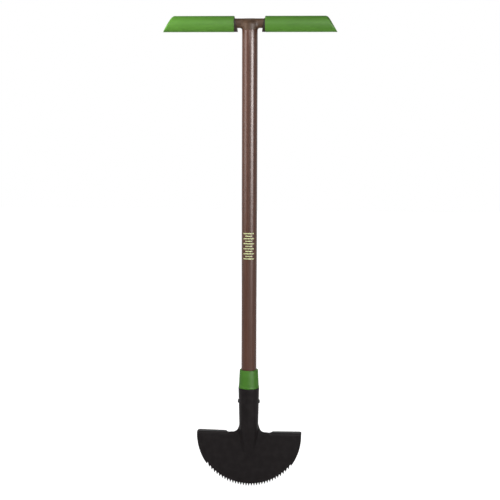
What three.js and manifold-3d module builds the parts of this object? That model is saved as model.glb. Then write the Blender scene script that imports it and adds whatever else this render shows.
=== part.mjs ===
// A border edger with a long handle: a half-moon blade with a toothed rim, two foot treads and a
// rolled socket, on a steel tube that has a collar at its foot and a cross handle with two grips.
// Millimetres, +Z up. The origin is on the tube's axis, level with the lowest tooth tips.
// The front, where the blade's raised rib shows, faces -Y.

import * as THREE from 'three';
import { mergeVertices } from 'three/addons/utils/BufferGeometryUtils.js';
import Module from 'manifold-3d';

const wasm = await Module();
wasm.setup();

const { lerp, smoothstep } = THREE.MathUtils;

// Overall sizes
const OVERALL_HEIGHT = 990; // lowest tooth tip to the top of the grips
const HANDLE_SPAN = 356; // over the outer ends of the two grips

// Fits and cuts
const FIT_GAP = 0.3; // between a piece and what it seats on or fits into
const FILM_GAP = 0.1; // between the label's film and the tube
const CUT_OVERRUN = 5; // how far a cut runs past what it cuts

// Blade
const SHEET = 2; // thickness of the pressed steel
const BLADE_RADIUS = 111.5; // to the tooth tips
const BLADE_SETBACK = 4; // tube's axis to the middle of the blade's sheet
const TOOTH_REACH = 91; // tube's axis to the outermost tooth tip, with a plain rim beyond it
const TOOTH_PITCH = 5.7; // across the blade
const TOOTH_DEPTH = 5.5; // straight up
const TOOTH_FLAT = 0.5; // width of a tooth's blunt tip

// Foot treads, turned back from the blade's top edge
const TREAD_INNER = 41; // tube's axis to the inner end of a tread
const TREAD_DEPTH_INNER = 16;
const TREAD_DEPTH_OUTER = 20;
const TREAD_LIFT = 5.8; // tread's top above the centre of the half-moon
const TREAD_BEND = 3; // inner radius of the fold
const TREAD_OUTER_CORNER = 6; // roundings of the rear corners
const TREAD_INNER_CORNER = 10;

// Shoulders, raised rib and neck
const SHOULDER_STEP = 1; // shoulder's edge above the tread's top
const NECK_FILLET_HEIGHT = 22; // shoulder to neck
const RIB_LENGTH = 68; // shoulder down to where the rib fades out
const RIB_VALLEY = 10; // hollow radius between the rib and the flat blade, at the neck
const RIB_TIP_SHARE = 0.6; // the rib's radii at its tip, of those at the neck
const FLARE_SHARE = 0.5; // height of the neck fillet above which the edge turns to the back
const SEAM_GAP = 4; // open seam at the back of the socket
const SEAM_FLARE = 20; // neck to where the seam reaches its narrow width

// Handle tube
const TUBE_DIAMETER = 32;
const TUBE_WALL = 1.2;
const TUBE_ENGAGEMENT = 66.5; // length of tube inside the socket
const TUBE_FOOT_ROOM = 10; // neck to the tube's foot

// Collar and its sleeve
const SLEEVE_WALL_MOUTH = 3.4; // sleeve's wall at the socket's mouth
const SLEEVE_WALL_FOOT = 1.8; // sleeve's wall at the tube's foot
const SLEEVE_SETBACK = 6; // tube's foot to the sleeve's foot
const COLLAR_HEIGHT = 39;
const COLLAR_TOP_WALL = 3.2;
const COLLAR_INSET = 0.2; // collar's foot inside the socket's outer face
const COLLAR_BEAD_HEIGHT = 3;
const COLLAR_BEAD_STEP = 0.4; // bead over the collar's taper
const COLLAR_EDGE = 0.8; // rounding of the collar's edges

// Rivet through the socket
const RIVET_RISE = 37; // tube's foot to the rivet's axis
const RIVET_DIAMETER = 6;
const RIVET_HEAD_DIAMETER = 8.5;
const RIVET_HEAD_HEIGHT = 2.2;

// Plug in the tube's foot
const FOOT_PLUG_LENGTH = 62;
const FOOT_PLUG_FLANGE = 2.4; // thickness of the flange below the tube
const FOOT_PLUG_INSET = 0.6; // flange inside the tube's outer face

// Cross bar
const ARM_HEIGHT = 19.4;
const ARM_DEPTH = 17;
const ARM_LIFT = 1.5; // arms' middle above the grips' middle
const ARM_FULLNESS = 2.6; // power of the oval section, 2 for an ellipse
const HUB_DROP = 13.2; // arms' middle to the tube's top
const HUB_CROWN = 10; // rounding of the hub's top edge
const TEE_PLUG_LENGTH = 50;
const TEE_PLUG_CHAMFER = 2;

// Grips
const GRIP_HEIGHT = 32.6;
const GRIP_DEPTH = 28;
const GRIP_INNER = 25; // tube's axis to a grip's lower inner corner
const GRIP_INNER_SLANT = 6; // upper inner corner beyond the lower one
const GRIP_END_SLANT = 19; // lower outer corner beyond the upper one
const GRIP_END_ROUND = 6.5; // rounding of the outer end
const GRIP_MOUTH_ROUND = 1.5; // rounding of the inner end
const GRIP_END_WALL = 11; // arm's end to the grip's upper outer corner
const GRIP_TOP_FULLNESS = 2.8; // powers of the section: full at the top and bottom,
const GRIP_FRONT_FULLNESS = 1.7; // with a soft crest at the front and back

// Screw at the back of the hub
const SCREW_DROP = 22; // tube's top to the screw's axis
const SCREW_DIAMETER = 4.2;
const SCREW_LENGTH = 13; // under its head
const SCREW_HEAD_DIAMETER = 8.4;
const SCREW_HEAD_HEIGHT = 2.4;

// Label
const LABEL_RISE = 274; // socket's mouth to the label's foot
const LABEL_HEIGHT = 58;
const LABEL_WIDTH = 26; // round the tube
const LABEL_FILM = 0.25;

// How finely curves are drawn
const ROUND_FACETS = 48;
const SMALL_FACETS = 20;
const OVAL_FACETS = 32;
const ARC_STEPS = 4; // along a small rounding
const RIM_STEPS = 8; // along the plain rim on one side
const RIB_ROWS = 8;
const FILLET_ROWS = 4;
const FLARE_ROWS = 8;
const RIB_COLUMNS = 10; // from the middle to the rib's foot
const WING_COLUMNS = 4; // from there to the sheet's edge
const CORE_SHARE = 0.9; // most of the sheet's half width that the rib's columns take
const TRACE_STEPS = 40; // for adding up a section's bends

// Levels and radii that follow from these
const tubeRadius = TUBE_DIAMETER / 2;
const tubeBore = tubeRadius - TUBE_WALL;
const treadTopZ = BLADE_RADIUS + TREAD_LIFT;
const bendRadius = TREAD_BEND + SHEET;
const foldZ = treadTopZ - bendRadius;
const treadOuter = Math.sqrt(BLADE_RADIUS ** 2 - (BLADE_RADIUS - foldZ) ** 2);
const bladeFrontY = BLADE_SETBACK - SHEET / 2;
const shoulderZ = treadTopZ + SHOULDER_STEP;
const ribTipZ = shoulderZ - RIB_LENGTH;
const neckZ = shoulderZ + NECK_FILLET_HEIGHT;
const flareZ = neckZ - NECK_FILLET_HEIGHT * FLARE_SHARE;
const seamZ = neckZ + SEAM_FLARE;
const tubeFootZ = neckZ + TUBE_FOOT_ROOM;
const mouthZ = tubeFootZ + TUBE_ENGAGEMENT;
const sleeveBore = tubeRadius + FIT_GAP;
const mouthRadius = sleeveBore + SLEEVE_WALL_MOUTH + FIT_GAP + SHEET;
const footRadius = sleeveBore + SLEEVE_WALL_FOOT + FIT_GAP + SHEET;
const socketTaper = (mouthRadius - footRadius) / TUBE_ENGAGEMENT;
const gripMiddleZ = OVERALL_HEIGHT - GRIP_HEIGHT / 2;
const armMiddleZ = gripMiddleZ + ARM_LIFT;
const tubeTopZ = armMiddleZ - HUB_DROP;
const tubeLength = tubeTopZ - tubeFootZ;
const armReach = HANDLE_SPAN / 2 - GRIP_END_SLANT - GRIP_END_WALL;

// Solids: joining, cutting and turning them back into geometry

function toSolid(geometry) {
  const bare = new THREE.BufferGeometry();
  bare.setAttribute('position', geometry.getAttribute('position'));
  bare.setIndex(geometry.getIndex());
  const merged = mergeVertices(bare);
  const corners = merged.getIndex().array;
  const kept = [];
  for (let i = 0; i < corners.length; i += 3) {
    const [a, b, c] = corners.slice(i, i + 3);
    if (a !== b && b !== c && c !== a) {
      kept.push(a, b, c);
    }
  }
  const mesh = new wasm.Mesh({
    numProp: 3,
    vertProperties: new Float32Array(merged.getAttribute('position').array),
    triVerts: new Uint32Array(kept),
  });
  return new wasm.Manifold(mesh);
}

function toGeometry(solid) {
  const mesh = solid.getMesh();
  const geometry = new THREE.BufferGeometry();
  geometry.setAttribute('position', new THREE.BufferAttribute(mesh.vertProperties, 3));
  geometry.setIndex(new THREE.BufferAttribute(mesh.triVerts, 1));
  geometry.computeVertexNormals();
  return geometry;
}

// Shapes that the pieces are made from

const alongX = new THREE.Matrix4().makeBasis(
  new THREE.Vector3(0, 1, 0), new THREE.Vector3(0, 0, 1), new THREE.Vector3(1, 0, 0));
const alongY = new THREE.Matrix4().makeBasis(
  new THREE.Vector3(0, 0, 1), new THREE.Vector3(1, 0, 0), new THREE.Vector3(0, 1, 0));

// A profile of [radius, height] points, turned about Z. It closes on the axis or on itself.
function turned(profile, facets = ROUND_FACETS) {
  const points = profile.map(([radius, height]) => new THREE.Vector2(radius, height));
  return toSolid(new THREE.LatheGeometry(points, facets).rotateX(Math.PI / 2));
}

// The same turned about X, Y or Z through the origin, by a turn of the finished solid.
function pinAlong(axis, profile) {
  const geometry = toGeometry(turned(profile, SMALL_FACETS));
  if (axis === 'x') {
    geometry.rotateY(Math.PI / 2);
  } else {
    geometry.rotateX(-Math.PI / 2);
  }
  return toSolid(geometry);
}

function boreAlong(axis, radius, from, to) {
  return pinAlong(axis, [[0, from], [radius, from], [radius, to], [0, to]]);
}

// A flat outline pushed from one place to another along X, Y or Z. Along X the outline is drawn
// in [y, z], along Y in [z, x] and along Z in [x, y].
function extruded(outline, axis, from, to) {
  const shape = outline instanceof THREE.Shape ? outline : new THREE.Shape(outline);
  const settings = { depth: to - from, bevelEnabled: false, curveSegments: ARC_STEPS };
  const geometry = new THREE.ExtrudeGeometry(shape, settings).translate(0, 0, from);
  if (axis === 'x') {
    geometry.applyMatrix4(alongX);
  } else if (axis === 'y') {
    geometry.applyMatrix4(alongY);
  }
  return toSolid(mergeIndexed(geometry));
}

function mergeIndexed(geometry) {
  geometry.deleteAttribute('normal');
  geometry.deleteAttribute('uv');
  return mergeVertices(geometry);
}

// A closed skin through rings of points, each ring with as many points as the last. capFaces
// gives the triangles of an end as places in the ring.
function lofted(rings, capFaces) {
  const count = rings[0].length;
  const positions = rings.flat().flatMap((point) => point.toArray());
  const faces = [];
  for (let i = 0; i < rings.length - 1; i += 1) {
    for (let j = 0; j < count; j += 1) {
      const a = i * count + j;
      const b = i * count + (j + 1) % count;
      faces.push(a, b, b + count, a, b + count, a + count);
    }
  }
  const last = (rings.length - 1) * count;
  for (const [a, b, c] of capFaces(count)) {
    faces.push(c, b, a);
    faces.push(last + a, last + b, last + c);
  }
  const geometry = new THREE.BufferGeometry();
  geometry.setAttribute('position', new THREE.Float32BufferAttribute(positions, 3));
  geometry.setIndex(faces);
  return toSolid(geometry);
}

// End of a rounded ring: a fan from its first point.
function fanFaces(count) {
  const faces = [];
  for (let j = 1; j < count - 1; j += 1) {
    faces.push([0, j, j + 1]);
  }
  return faces;
}

// End of a ring that runs along one side of a sheet and back along the other.
function stripFaces(count) {
  const faces = [];
  for (let j = 0; j < count / 2 - 1; j += 1) {
    const opposite = count - 1 - j;
    faces.push([j, j + 1, opposite - 1], [j, opposite - 1, opposite]);
  }
  return faces;
}

// Points of an oval whose two powers set how full it is across and along.
function ovalPoints(halfAcross, halfAlong, powerAcross, powerAlong) {
  const points = [];
  for (let k = 0; k < OVAL_FACETS; k += 1) {
    const angle = (2 * Math.PI * k) / OVAL_FACETS;
    const across = Math.sign(Math.cos(angle)) * Math.abs(Math.cos(angle)) ** (2 / powerAcross);
    const along = Math.sign(Math.sin(angle)) * Math.abs(Math.sin(angle)) ** (2 / powerAlong);
    points.push(new THREE.Vector2(halfAcross * across, halfAlong * along));
  }
  return points;
}

// Blade head: one sheet, drawn as a stack of level sections

function socketRadiusAt(z) {
  return mouthRadius - socketTaper * (mouthZ - z);
}

// What sets the sheet's section at a height: how high and how steep the rib stands, and how far
// the sheet is rolled into the socket, from 0 at the shoulder to 1 at the neck.
function levelAt(z) {
  const midRadius = socketRadiusAt(Math.max(z, neckZ)) - SHEET / 2;
  const rise = THREE.MathUtils.clamp((z - ribTipZ) / (neckZ - ribTipZ), 0, 1);
  const height = (BLADE_SETBACK + midRadius) * smoothstep(rise, 0, 1);
  const share = lerp(RIB_TIP_SHARE, 1, rise);
  const crown = midRadius * share;
  const valley = RIB_VALLEY * share;
  const flank = Math.acos(1 - height / (crown + valley));
  const roll = smoothstep(z, shoulderZ, neckZ);
  return { z, midRadius, height, crown, valley, flank, roll };
}

// The sheet's turn from straight across, at a distance round from its middle line.
function bendAt(level, distance) {
  const crownArc = level.crown * level.flank;
  const pastCrown = Math.max(0, distance - crownArc) / level.valley;
  const rib = distance < crownArc ? distance / level.crown : Math.max(0, level.flank - pastCrown);
  return lerp(rib, distance / level.midRadius, level.roll);
}

// The point of the sheet's middle at that distance, with the sheet's turn there.
function traceTo(level, distance) {
  const step = distance / TRACE_STEPS;
  let x = 0;
  let y = BLADE_SETBACK - level.height;
  for (let k = 0; k < TRACE_STEPS; k += 1) {
    const bend = bendAt(level, step * (k + 0.5));
    x += step * Math.cos(bend);
    y += step * Math.sin(bend);
  }
  return { x, y, bend: bendAt(level, distance) };
}

// The distance round at which the sheet is as far out as the given reach.
function distanceToReach(level, reach) {
  let low = 0;
  let high = reach * 2;
  for (let k = 0; k < TRACE_STEPS; k += 1) {
    const middle = (low + high) / 2;
    if (traceTo(level, middle).x < reach) {
      low = middle;
    } else {
      high = middle;
    }
  }
  return high;
}

// How far out the edge of the neck fillet stands, a quarter of an ellipse. The foot of the fillet
// may come out a rounding error past the ellipse.
function filletReach(z) {
  const neckRadius = socketRadiusAt(neckZ);
  const down = (neckZ - z) / NECK_FILLET_HEIGHT;
  return TREAD_INNER - (TREAD_INNER - neckRadius) * Math.sqrt(Math.max(0, 1 - down ** 2));
}

// The sheet's half width, measured round its section.
function halfWidthAt(z) {
  const level = levelAt(z);
  if (z <= foldZ) {
    return distanceToReach(level, BLADE_RADIUS + CUT_OVERRUN);
  }
  if (z <= flareZ) {
    return distanceToReach(level, filletReach(z));
  }
  const seamEdge = Math.PI * level.midRadius - SEAM_GAP / 2;
  return lerp(halfWidthAt(flareZ), seamEdge, smoothstep(z, flareZ, seamZ));
}

// One level of the sheet: along its front from left to right, and back along its rear.
function sheetRing(z) {
  const level = levelAt(z);
  const edge = halfWidthAt(z);
  const core = Math.min((level.crown + level.valley) * level.flank, edge * CORE_SHARE);
  const distances = [0];
  for (let k = 1; k <= RIB_COLUMNS; k += 1) {
    distances.push((core * k) / RIB_COLUMNS);
  }
  for (let k = 1; k <= WING_COLUMNS; k += 1) {
    distances.push(lerp(core, edge, k / WING_COLUMNS));
  }
  const front = [];
  const rear = [];
  for (const distance of distances) {
    const { x, y, bend } = traceTo(level, distance);
    const outX = (Math.sin(bend) * SHEET) / 2;
    const outY = (-Math.cos(bend) * SHEET) / 2;
    front.push(new THREE.Vector3(x + outX, y + outY, z));
    rear.push(new THREE.Vector3(x - outX, y - outY, z));
  }
  const mirrored = (points) => points.slice(1).reverse().map((p) => new THREE.Vector3(-p.x, p.y, p.z));
  const acrossFront = [...mirrored(front), ...front];
  const acrossRear = [...mirrored(rear), ...rear];
  return [...acrossFront, ...acrossRear.reverse()];
}

function sheetLevels() {
  const levels = [-CUT_OVERRUN];
  for (let k = 0; k <= RIB_ROWS; k += 1) {
    levels.push(lerp(ribTipZ, foldZ, k / RIB_ROWS));
  }
  for (let k = 0; k < FILLET_ROWS; k += 1) {
    const turn = lerp(Math.PI / 2, Math.asin(FLARE_SHARE), k / FILLET_ROWS);
    levels.push(neckZ - NECK_FILLET_HEIGHT * Math.sin(turn));
  }
  for (let k = 0; k <= FLARE_ROWS; k += 1) {
    levels.push(lerp(flareZ, seamZ, k / FLARE_ROWS));
  }
  levels.push(mouthZ);
  return levels;
}

// The half-moon's rim from the right tread to the left one, as [z, x] points. The teeth stand at an
// equal pitch across the blade and point straight down.
function rimPoints() {
  const points = [];
  const addPlain = (angle) => {
    const z = BLADE_RADIUS - BLADE_RADIUS * Math.sin(angle);
    points.push(new THREE.Vector2(z, BLADE_RADIUS * Math.cos(angle)));
  };
  const addToothed = (x, depth) => {
    const rimZ = BLADE_RADIUS - Math.sqrt(BLADE_RADIUS ** 2 - x ** 2);
    points.push(new THREE.Vector2(rimZ + depth, x));
  };
  const start = Math.asin((BLADE_RADIUS - foldZ) / BLADE_RADIUS);
  const plainEnd = Math.acos(TOOTH_REACH / BLADE_RADIUS);
  for (let k = 0; k < RIM_STEPS; k += 1) {
    addPlain(lerp(start, plainEnd, k / RIM_STEPS));
  }
  const gullets = Math.round((2 * TOOTH_REACH) / TOOTH_PITCH);
  const pitch = (2 * TOOTH_REACH) / gullets;
  for (let k = 0; k <= gullets; k += 1) {
    const tip = TOOTH_REACH - pitch * k;
    addToothed(tip + TOOTH_FLAT / 2, 0);
    addToothed(tip - TOOTH_FLAT / 2, 0);
    if (k < gullets) {
      addToothed(tip - pitch / 2, TOOTH_DEPTH);
    }
  }
  for (let k = 1; k <= RIM_STEPS; k += 1) {
    addPlain(lerp(Math.PI - plainEnd, Math.PI - start, k / RIM_STEPS));
  }
  return points;
}

// Everything that the blade and socket may fill, seen from the front.
function frontOutline() {
  const top = mouthZ + CUT_OVERRUN;
  return [
    ...rimPoints(),
    new THREE.Vector2(foldZ, -TREAD_INNER),
    new THREE.Vector2(top, -TREAD_INNER),
    new THREE.Vector2(top, TREAD_INNER),
    new THREE.Vector2(foldZ, TREAD_INNER),
  ];
}

// A tread's section as [y, z]: up the blade, round the fold and back.
function treadSection() {
  const lapZ = foldZ - SHEET;
  const rearY = bladeFrontY + TREAD_DEPTH_OUTER;
  const centreY = bladeFrontY + bendRadius;
  const section = new THREE.Shape();
  section.moveTo(bladeFrontY, lapZ);
  section.lineTo(bladeFrontY + SHEET, lapZ);
  section.lineTo(bladeFrontY + SHEET, foldZ);
  section.absarc(centreY, foldZ, TREAD_BEND, Math.PI, Math.PI / 2, true);
  section.lineTo(rearY, treadTopZ - SHEET);
  section.lineTo(rearY, treadTopZ);
  section.lineTo(centreY, treadTopZ);
  section.absarc(centreY, foldZ, bendRadius, Math.PI / 2, Math.PI, false);
  section.lineTo(bladeFrontY, lapZ);
  return section;
}

// A tread seen from above as [x, y], with rounded rear corners.
function treadPlan() {
  const innerRear = bladeFrontY + TREAD_DEPTH_INNER;
  const outerRear = bladeFrontY + TREAD_DEPTH_OUTER;
  const slope = (outerRear - innerRear) / (treadOuter - TREAD_INNER);
  const plan = new THREE.Shape();
  plan.moveTo(TREAD_INNER, bladeFrontY - CUT_OVERRUN);
  plan.lineTo(treadOuter, bladeFrontY - CUT_OVERRUN);
  const outerEnd = treadOuter - TREAD_OUTER_CORNER;
  const innerEnd = TREAD_INNER + TREAD_INNER_CORNER;
  plan.lineTo(treadOuter, outerRear - TREAD_OUTER_CORNER);
  plan.quadraticCurveTo(treadOuter, outerRear, outerEnd, outerRear - TREAD_OUTER_CORNER * slope);
  plan.lineTo(innerEnd, innerRear + TREAD_INNER_CORNER * slope);
  plan.quadraticCurveTo(TREAD_INNER, innerRear, TREAD_INNER, innerRear - TREAD_INNER_CORNER);
  plan.lineTo(TREAD_INNER, bladeFrontY - CUT_OVERRUN);
  return plan;
}

function bladeHead() {
  const sheet = lofted(sheetLevels().map(sheetRing), stripFaces);
  const window = extruded(frontOutline(), 'y', -mouthRadius - CUT_OVERRUN, mouthRadius + CUT_OVERRUN);
  const bar = extruded(treadSection(), 'x', TREAD_INNER, treadOuter);
  const plan = extruded(treadPlan(), 'z', foldZ - SHEET - CUT_OVERRUN, treadTopZ + CUT_OVERRUN);
  const tread = bar.intersect(plan);
  const rivetReach = mouthRadius + CUT_OVERRUN;
  const rivetHole = boreAlong('x', RIVET_DIAMETER / 2 + FIT_GAP, -rivetReach, rivetReach);
  return sheet
    .intersect(window)
    .add(tread)
    .add(tread.mirror([1, 0, 0]))
    .subtract(rivetHole.translate(0, 0, tubeFootZ + RIVET_RISE));
}

// Pieces at the tube's foot, drawn from the tube's foot up

function handleTube() {
  const wall = turned([
    [tubeBore, 0],
    [tubeRadius, 0],
    [tubeRadius, tubeLength],
    [tubeBore, tubeLength],
    [tubeBore, 0],
  ]);
  const reach = tubeRadius + CUT_OVERRUN;
  const rivetHole = boreAlong('x', RIVET_DIAMETER / 2 + FIT_GAP, -reach, reach);
  const screwHole = boreAlong('y', SCREW_DIAMETER / 2 + FIT_GAP, 0, reach);
  return wall
    .subtract(rivetHole.translate(0, 0, RIVET_RISE))
    .subtract(screwHole.translate(0, 0, tubeLength - SCREW_DROP));
}

function footPlug() {
  const radius = tubeBore - FIT_GAP;
  const flange = tubeRadius - FOOT_PLUG_INSET;
  const plug = turned([
    [0, -FIT_GAP - FOOT_PLUG_FLANGE],
    [flange, -FIT_GAP - FOOT_PLUG_FLANGE],
    [flange, -FIT_GAP],
    [radius, -FIT_GAP],
    [radius, FOOT_PLUG_LENGTH],
    [0, FOOT_PLUG_LENGTH],
  ]);
  const reach = tubeRadius + CUT_OVERRUN;
  const rivetHole = boreAlong('x', RIVET_DIAMETER / 2 + FIT_GAP, -reach, reach);
  return plug.subtract(rivetHole.translate(0, 0, RIVET_RISE));
}

// Outer radius of the sleeve at a height above the tube's foot.
function sleeveRadiusAt(height) {
  return socketRadiusAt(tubeFootZ + height) - SHEET - FIT_GAP;
}

function ferruleCollar() {
  const seat = TUBE_ENGAGEMENT + FIT_GAP;
  const top = seat + COLLAR_HEIGHT;
  const footRim = mouthRadius - COLLAR_INSET;
  const topRim = sleeveBore + COLLAR_TOP_WALL;
  const collar = turned([
    [sleeveBore, SLEEVE_SETBACK],
    [sleeveRadiusAt(SLEEVE_SETBACK), SLEEVE_SETBACK],
    [sleeveRadiusAt(seat), seat],
    [footRim - COLLAR_EDGE, seat],
    [footRim, seat + COLLAR_EDGE],
    [footRim, seat + COLLAR_BEAD_HEIGHT - COLLAR_BEAD_STEP],
    [footRim - COLLAR_BEAD_STEP, seat + COLLAR_BEAD_HEIGHT],
    [topRim, top - COLLAR_EDGE],
    [topRim - COLLAR_EDGE, top],
    [sleeveBore, top],
    [sleeveBore, SLEEVE_SETBACK],
  ]);
  const reach = mouthRadius + CUT_OVERRUN;
  const rivetHole = boreAlong('x', RIVET_DIAMETER / 2 + FIT_GAP, -reach, reach);
  return collar.subtract(rivetHole.translate(0, 0, RIVET_RISE));
}

// Half of a domed head's profile, from its rim to its crown.
function headProfile(radius, height, from, direction) {
  const points = [];
  for (let k = 0; k <= ARC_STEPS; k += 1) {
    const turn = (Math.PI / 2) * (k / ARC_STEPS);
    points.push([radius * Math.cos(turn), from + direction * height * Math.sin(turn)]);
  }
  return points;
}

function socketRivet() {
  const seat = socketRadiusAt(tubeFootZ + RIVET_RISE) + FIT_GAP;
  const shank = RIVET_DIAMETER / 2;
  const head = RIVET_HEAD_DIAMETER / 2;
  return pinAlong('x', [
    ...headProfile(head, RIVET_HEAD_HEIGHT, -seat, -1).reverse(),
    [shank, -seat],
    [shank, seat],
    ...headProfile(head, RIVET_HEAD_HEIGHT, seat, 1),
  ]);
}

function handleLabel() {
  const inner = tubeRadius + FILM_GAP;
  const outer = inner + LABEL_FILM;
  const half = LABEL_WIDTH / tubeRadius / 2;
  const front = -Math.PI / 2;
  const film = new THREE.Shape();
  film.absarc(0, 0, outer, front - half, front + half, false);
  film.absarc(0, 0, inner, front + half, front - half, true);
  return extruded(film.extractPoints(ROUND_FACETS / 4).shape, 'z', 0, LABEL_HEIGHT);
}

// Cross handle, drawn from the middle of its arms

// The curved gusset under an arm, where it meets the hub, as [z, x].
function hubGusset(side) {
  const drop = HUB_DROP - ARM_HEIGHT / 2 - FIT_GAP;
  const under = -ARM_HEIGHT / 2;
  const points = [
    new THREE.Vector2(0, side * (tubeRadius + drop)),
    new THREE.Vector2(0, 0),
    new THREE.Vector2(under - drop, 0),
  ];
  for (let k = 0; k <= ARC_STEPS; k += 1) {
    const turn = (Math.PI / 2) * (k / ARC_STEPS);
    const out = tubeRadius + drop * (1 - Math.cos(turn));
    points.push(new THREE.Vector2(under - drop * (1 - Math.sin(turn)), side * out));
  }
  return extruded(side > 0 ? points.reverse() : points, 'y', -ARM_DEPTH / 4, ARM_DEPTH / 4);
}

function teeCore() {
  const section = ovalPoints(ARM_DEPTH / 2, ARM_HEIGHT / 2, ARM_FULLNESS, ARM_FULLNESS);
  const arms = extruded(section, 'x', -armReach, armReach);
  const hubFoot = FIT_GAP - HUB_DROP;
  const crown = [];
  for (let k = 0; k <= ARC_STEPS; k += 1) {
    const turn = (Math.PI / 2) * (k / ARC_STEPS);
    const radius = tubeRadius - HUB_CROWN * (1 - Math.cos(turn));
    crown.push([radius, ARM_HEIGHT / 2 - HUB_CROWN * (1 - Math.sin(turn))]);
  }
  const plugRadius = tubeBore - FIT_GAP;
  const hub = turned([
    [0, hubFoot - TEE_PLUG_LENGTH],
    [plugRadius - TEE_PLUG_CHAMFER, hubFoot - TEE_PLUG_LENGTH],
    [plugRadius, hubFoot - TEE_PLUG_LENGTH + TEE_PLUG_CHAMFER],
    [plugRadius, hubFoot],
    [tubeRadius, hubFoot],
    ...crown,
    [0, ARM_HEIGHT / 2],
  ]);
  const pilotRadius = SCREW_DIAMETER / 2 + FIT_GAP;
  const pilot = boreAlong('y', pilotRadius, tubeRadius - SCREW_LENGTH, tubeRadius + CUT_OVERRUN);
  return arms
    .add(hub)
    .add(hubGusset(1))
    .add(hubGusset(-1))
    .subtract(pilot.translate(0, 0, -HUB_DROP - SCREW_DROP));
}

function teeScrew() {
  const seat = tubeRadius + FIT_GAP;
  const shank = SCREW_DIAMETER / 2;
  return pinAlong('y', [
    [0, seat - SCREW_LENGTH],
    [shank, seat - SCREW_LENGTH + shank],
    [shank, seat],
    ...headProfile(SCREW_HEAD_DIAMETER / 2, SCREW_HEAD_HEIGHT, seat, 1),
  ]);
}

// A ring of the grip's skin, between its inner end and its outer one, drawn in by a rounding. The
// outer end keeps its lower corner, and is drawn down from the top.
function gripRing(along, drawn, anchor) {
  const halfHeight = GRIP_HEIGHT / 2;
  const points = ovalPoints(GRIP_DEPTH / 2 - drawn, halfHeight - drawn / 2,
    GRIP_TOP_FULLNESS, GRIP_FRONT_FULLNESS);
  return points.map((point) => {
    const z = point.y - (anchor * drawn) / 2;
    const rise = z / GRIP_HEIGHT + 0.5;
    return new THREE.Vector3(along(rise), point.x, z);
  });
}

// The right grip, drawn from the middle of its height. The left one is its mirror image.
function grip() {
  const innerAt = (rise) => GRIP_INNER + GRIP_INNER_SLANT * rise;
  const outerAt = (rise) => HANDLE_SPAN / 2 - GRIP_END_SLANT * rise;
  const rings = [];
  for (let k = 0; k <= ARC_STEPS; k += 1) {
    const turn = (Math.PI / 2) * (k / ARC_STEPS);
    const drawn = GRIP_MOUTH_ROUND * (1 - Math.sin(turn));
    rings.push(gripRing((rise) => innerAt(rise) + GRIP_MOUTH_ROUND * (1 - Math.cos(turn)), drawn, 0));
  }
  for (let k = 0; k <= ARC_STEPS; k += 1) {
    const turn = (Math.PI / 2) * (k / ARC_STEPS);
    const drawn = GRIP_END_ROUND * (1 - Math.cos(turn));
    rings.push(gripRing((rise) => outerAt(rise) - GRIP_END_ROUND * (1 - Math.sin(turn)), drawn, 1));
  }
  const section = ovalPoints(ARM_DEPTH / 2 + FIT_GAP, ARM_HEIGHT / 2 + FIT_GAP, ARM_FULLNESS, ARM_FULLNESS);
  const bore = extruded(section, 'x', 0, armReach + FIT_GAP).translate(0, 0, ARM_LIFT);
  return lofted(rings, fanFaces).subtract(bore);
}

// Finishes

function finish(name, color, roughness, metalness) {
  return new THREE.MeshStandardMaterial({ name, color, roughness, metalness });
}

const blackCoat = finish('black_powder_coat', 0x262322, 0.55, 0.2);
const brownPaint = finish('brown_paint', 0x5e4b40, 0.38, 0.15);
const brownPlastic = finish('brown_plastic', 0x594539, 0.5, 0);
const greenPlastic = finish('green_plastic', 0x5f9440, 0.45, 0);
const greenRubber = finish('green_rubber', 0x639540, 0.6, 0);
const zincSteel = finish('zinc_steel', 0x8d8d8a, 0.4, 0.9);
const darkPlastic = finish('dark_plastic', 0x2b2b2a, 0.6, 0);
const creamFilm = finish('cream_film', 0xf0ead0, 0.5, 0);

// Assembly

function piece(name, solid, material) {
  const mesh = new THREE.Mesh(toGeometry(solid), material);
  mesh.name = name;
  return mesh;
}

const head = new THREE.Group();
head.name = 'head';
head.add(piece('blade_head', bladeHead(), blackCoat));

const rivet = piece('socket_rivet', socketRivet(), blackCoat);
rivet.position.z = RIVET_RISE;

const label = piece('handle_label', handleLabel(), creamFilm);
label.position.z = TUBE_ENGAGEMENT + LABEL_RISE;

const handle = new THREE.Group();
handle.name = 'handle';
handle.position.z = tubeFootZ;
handle.add(piece('handle_tube', handleTube(), brownPaint));
handle.add(piece('tube_foot_plug', footPlug(), darkPlastic));
handle.add(piece('ferrule_collar', ferruleCollar(), greenPlastic));
handle.add(rivet, label);

const screw = piece('tee_screw', teeScrew(), zincSteel);
screw.position.z = -HUB_DROP - SCREW_DROP;

const rightGrip = grip();
const gripPair = new THREE.Group();
gripPair.name = 'grips';
gripPair.position.z = -ARM_LIFT;
gripPair.add(piece('grip_right', rightGrip, greenRubber));
gripPair.add(piece('grip_left', rightGrip.mirror([1, 0, 0]), greenRubber));

const crossHandle = new THREE.Group();
crossHandle.name = 'cross_handle';
crossHandle.position.z = armMiddleZ;
crossHandle.add(piece('tee_core', teeCore(), brownPlastic), screw, gripPair);

const edger = new THREE.Group();
edger.name = 'border_edger';
edger.add(head, handle, crossHandle);

export default edger;
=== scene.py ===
"""Looks of a border edger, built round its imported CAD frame.

A half-moon blade with a toothed rim and two foot treads, a rolled socket with a collar, a long
painted tube with a printed band and a cross handle with two grips. Metres, +Z up, front to -Y.
"""

import logging
import math
from collections.abc import Callable, Iterable, Sequence
from dataclasses import dataclass, field
from enum import Enum
from typing import Any, NamedTuple

import bmesh
import bpy
from bmesh.types import BMEdge, BMesh, BMVert
from mathutils import Matrix, Vector


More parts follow.
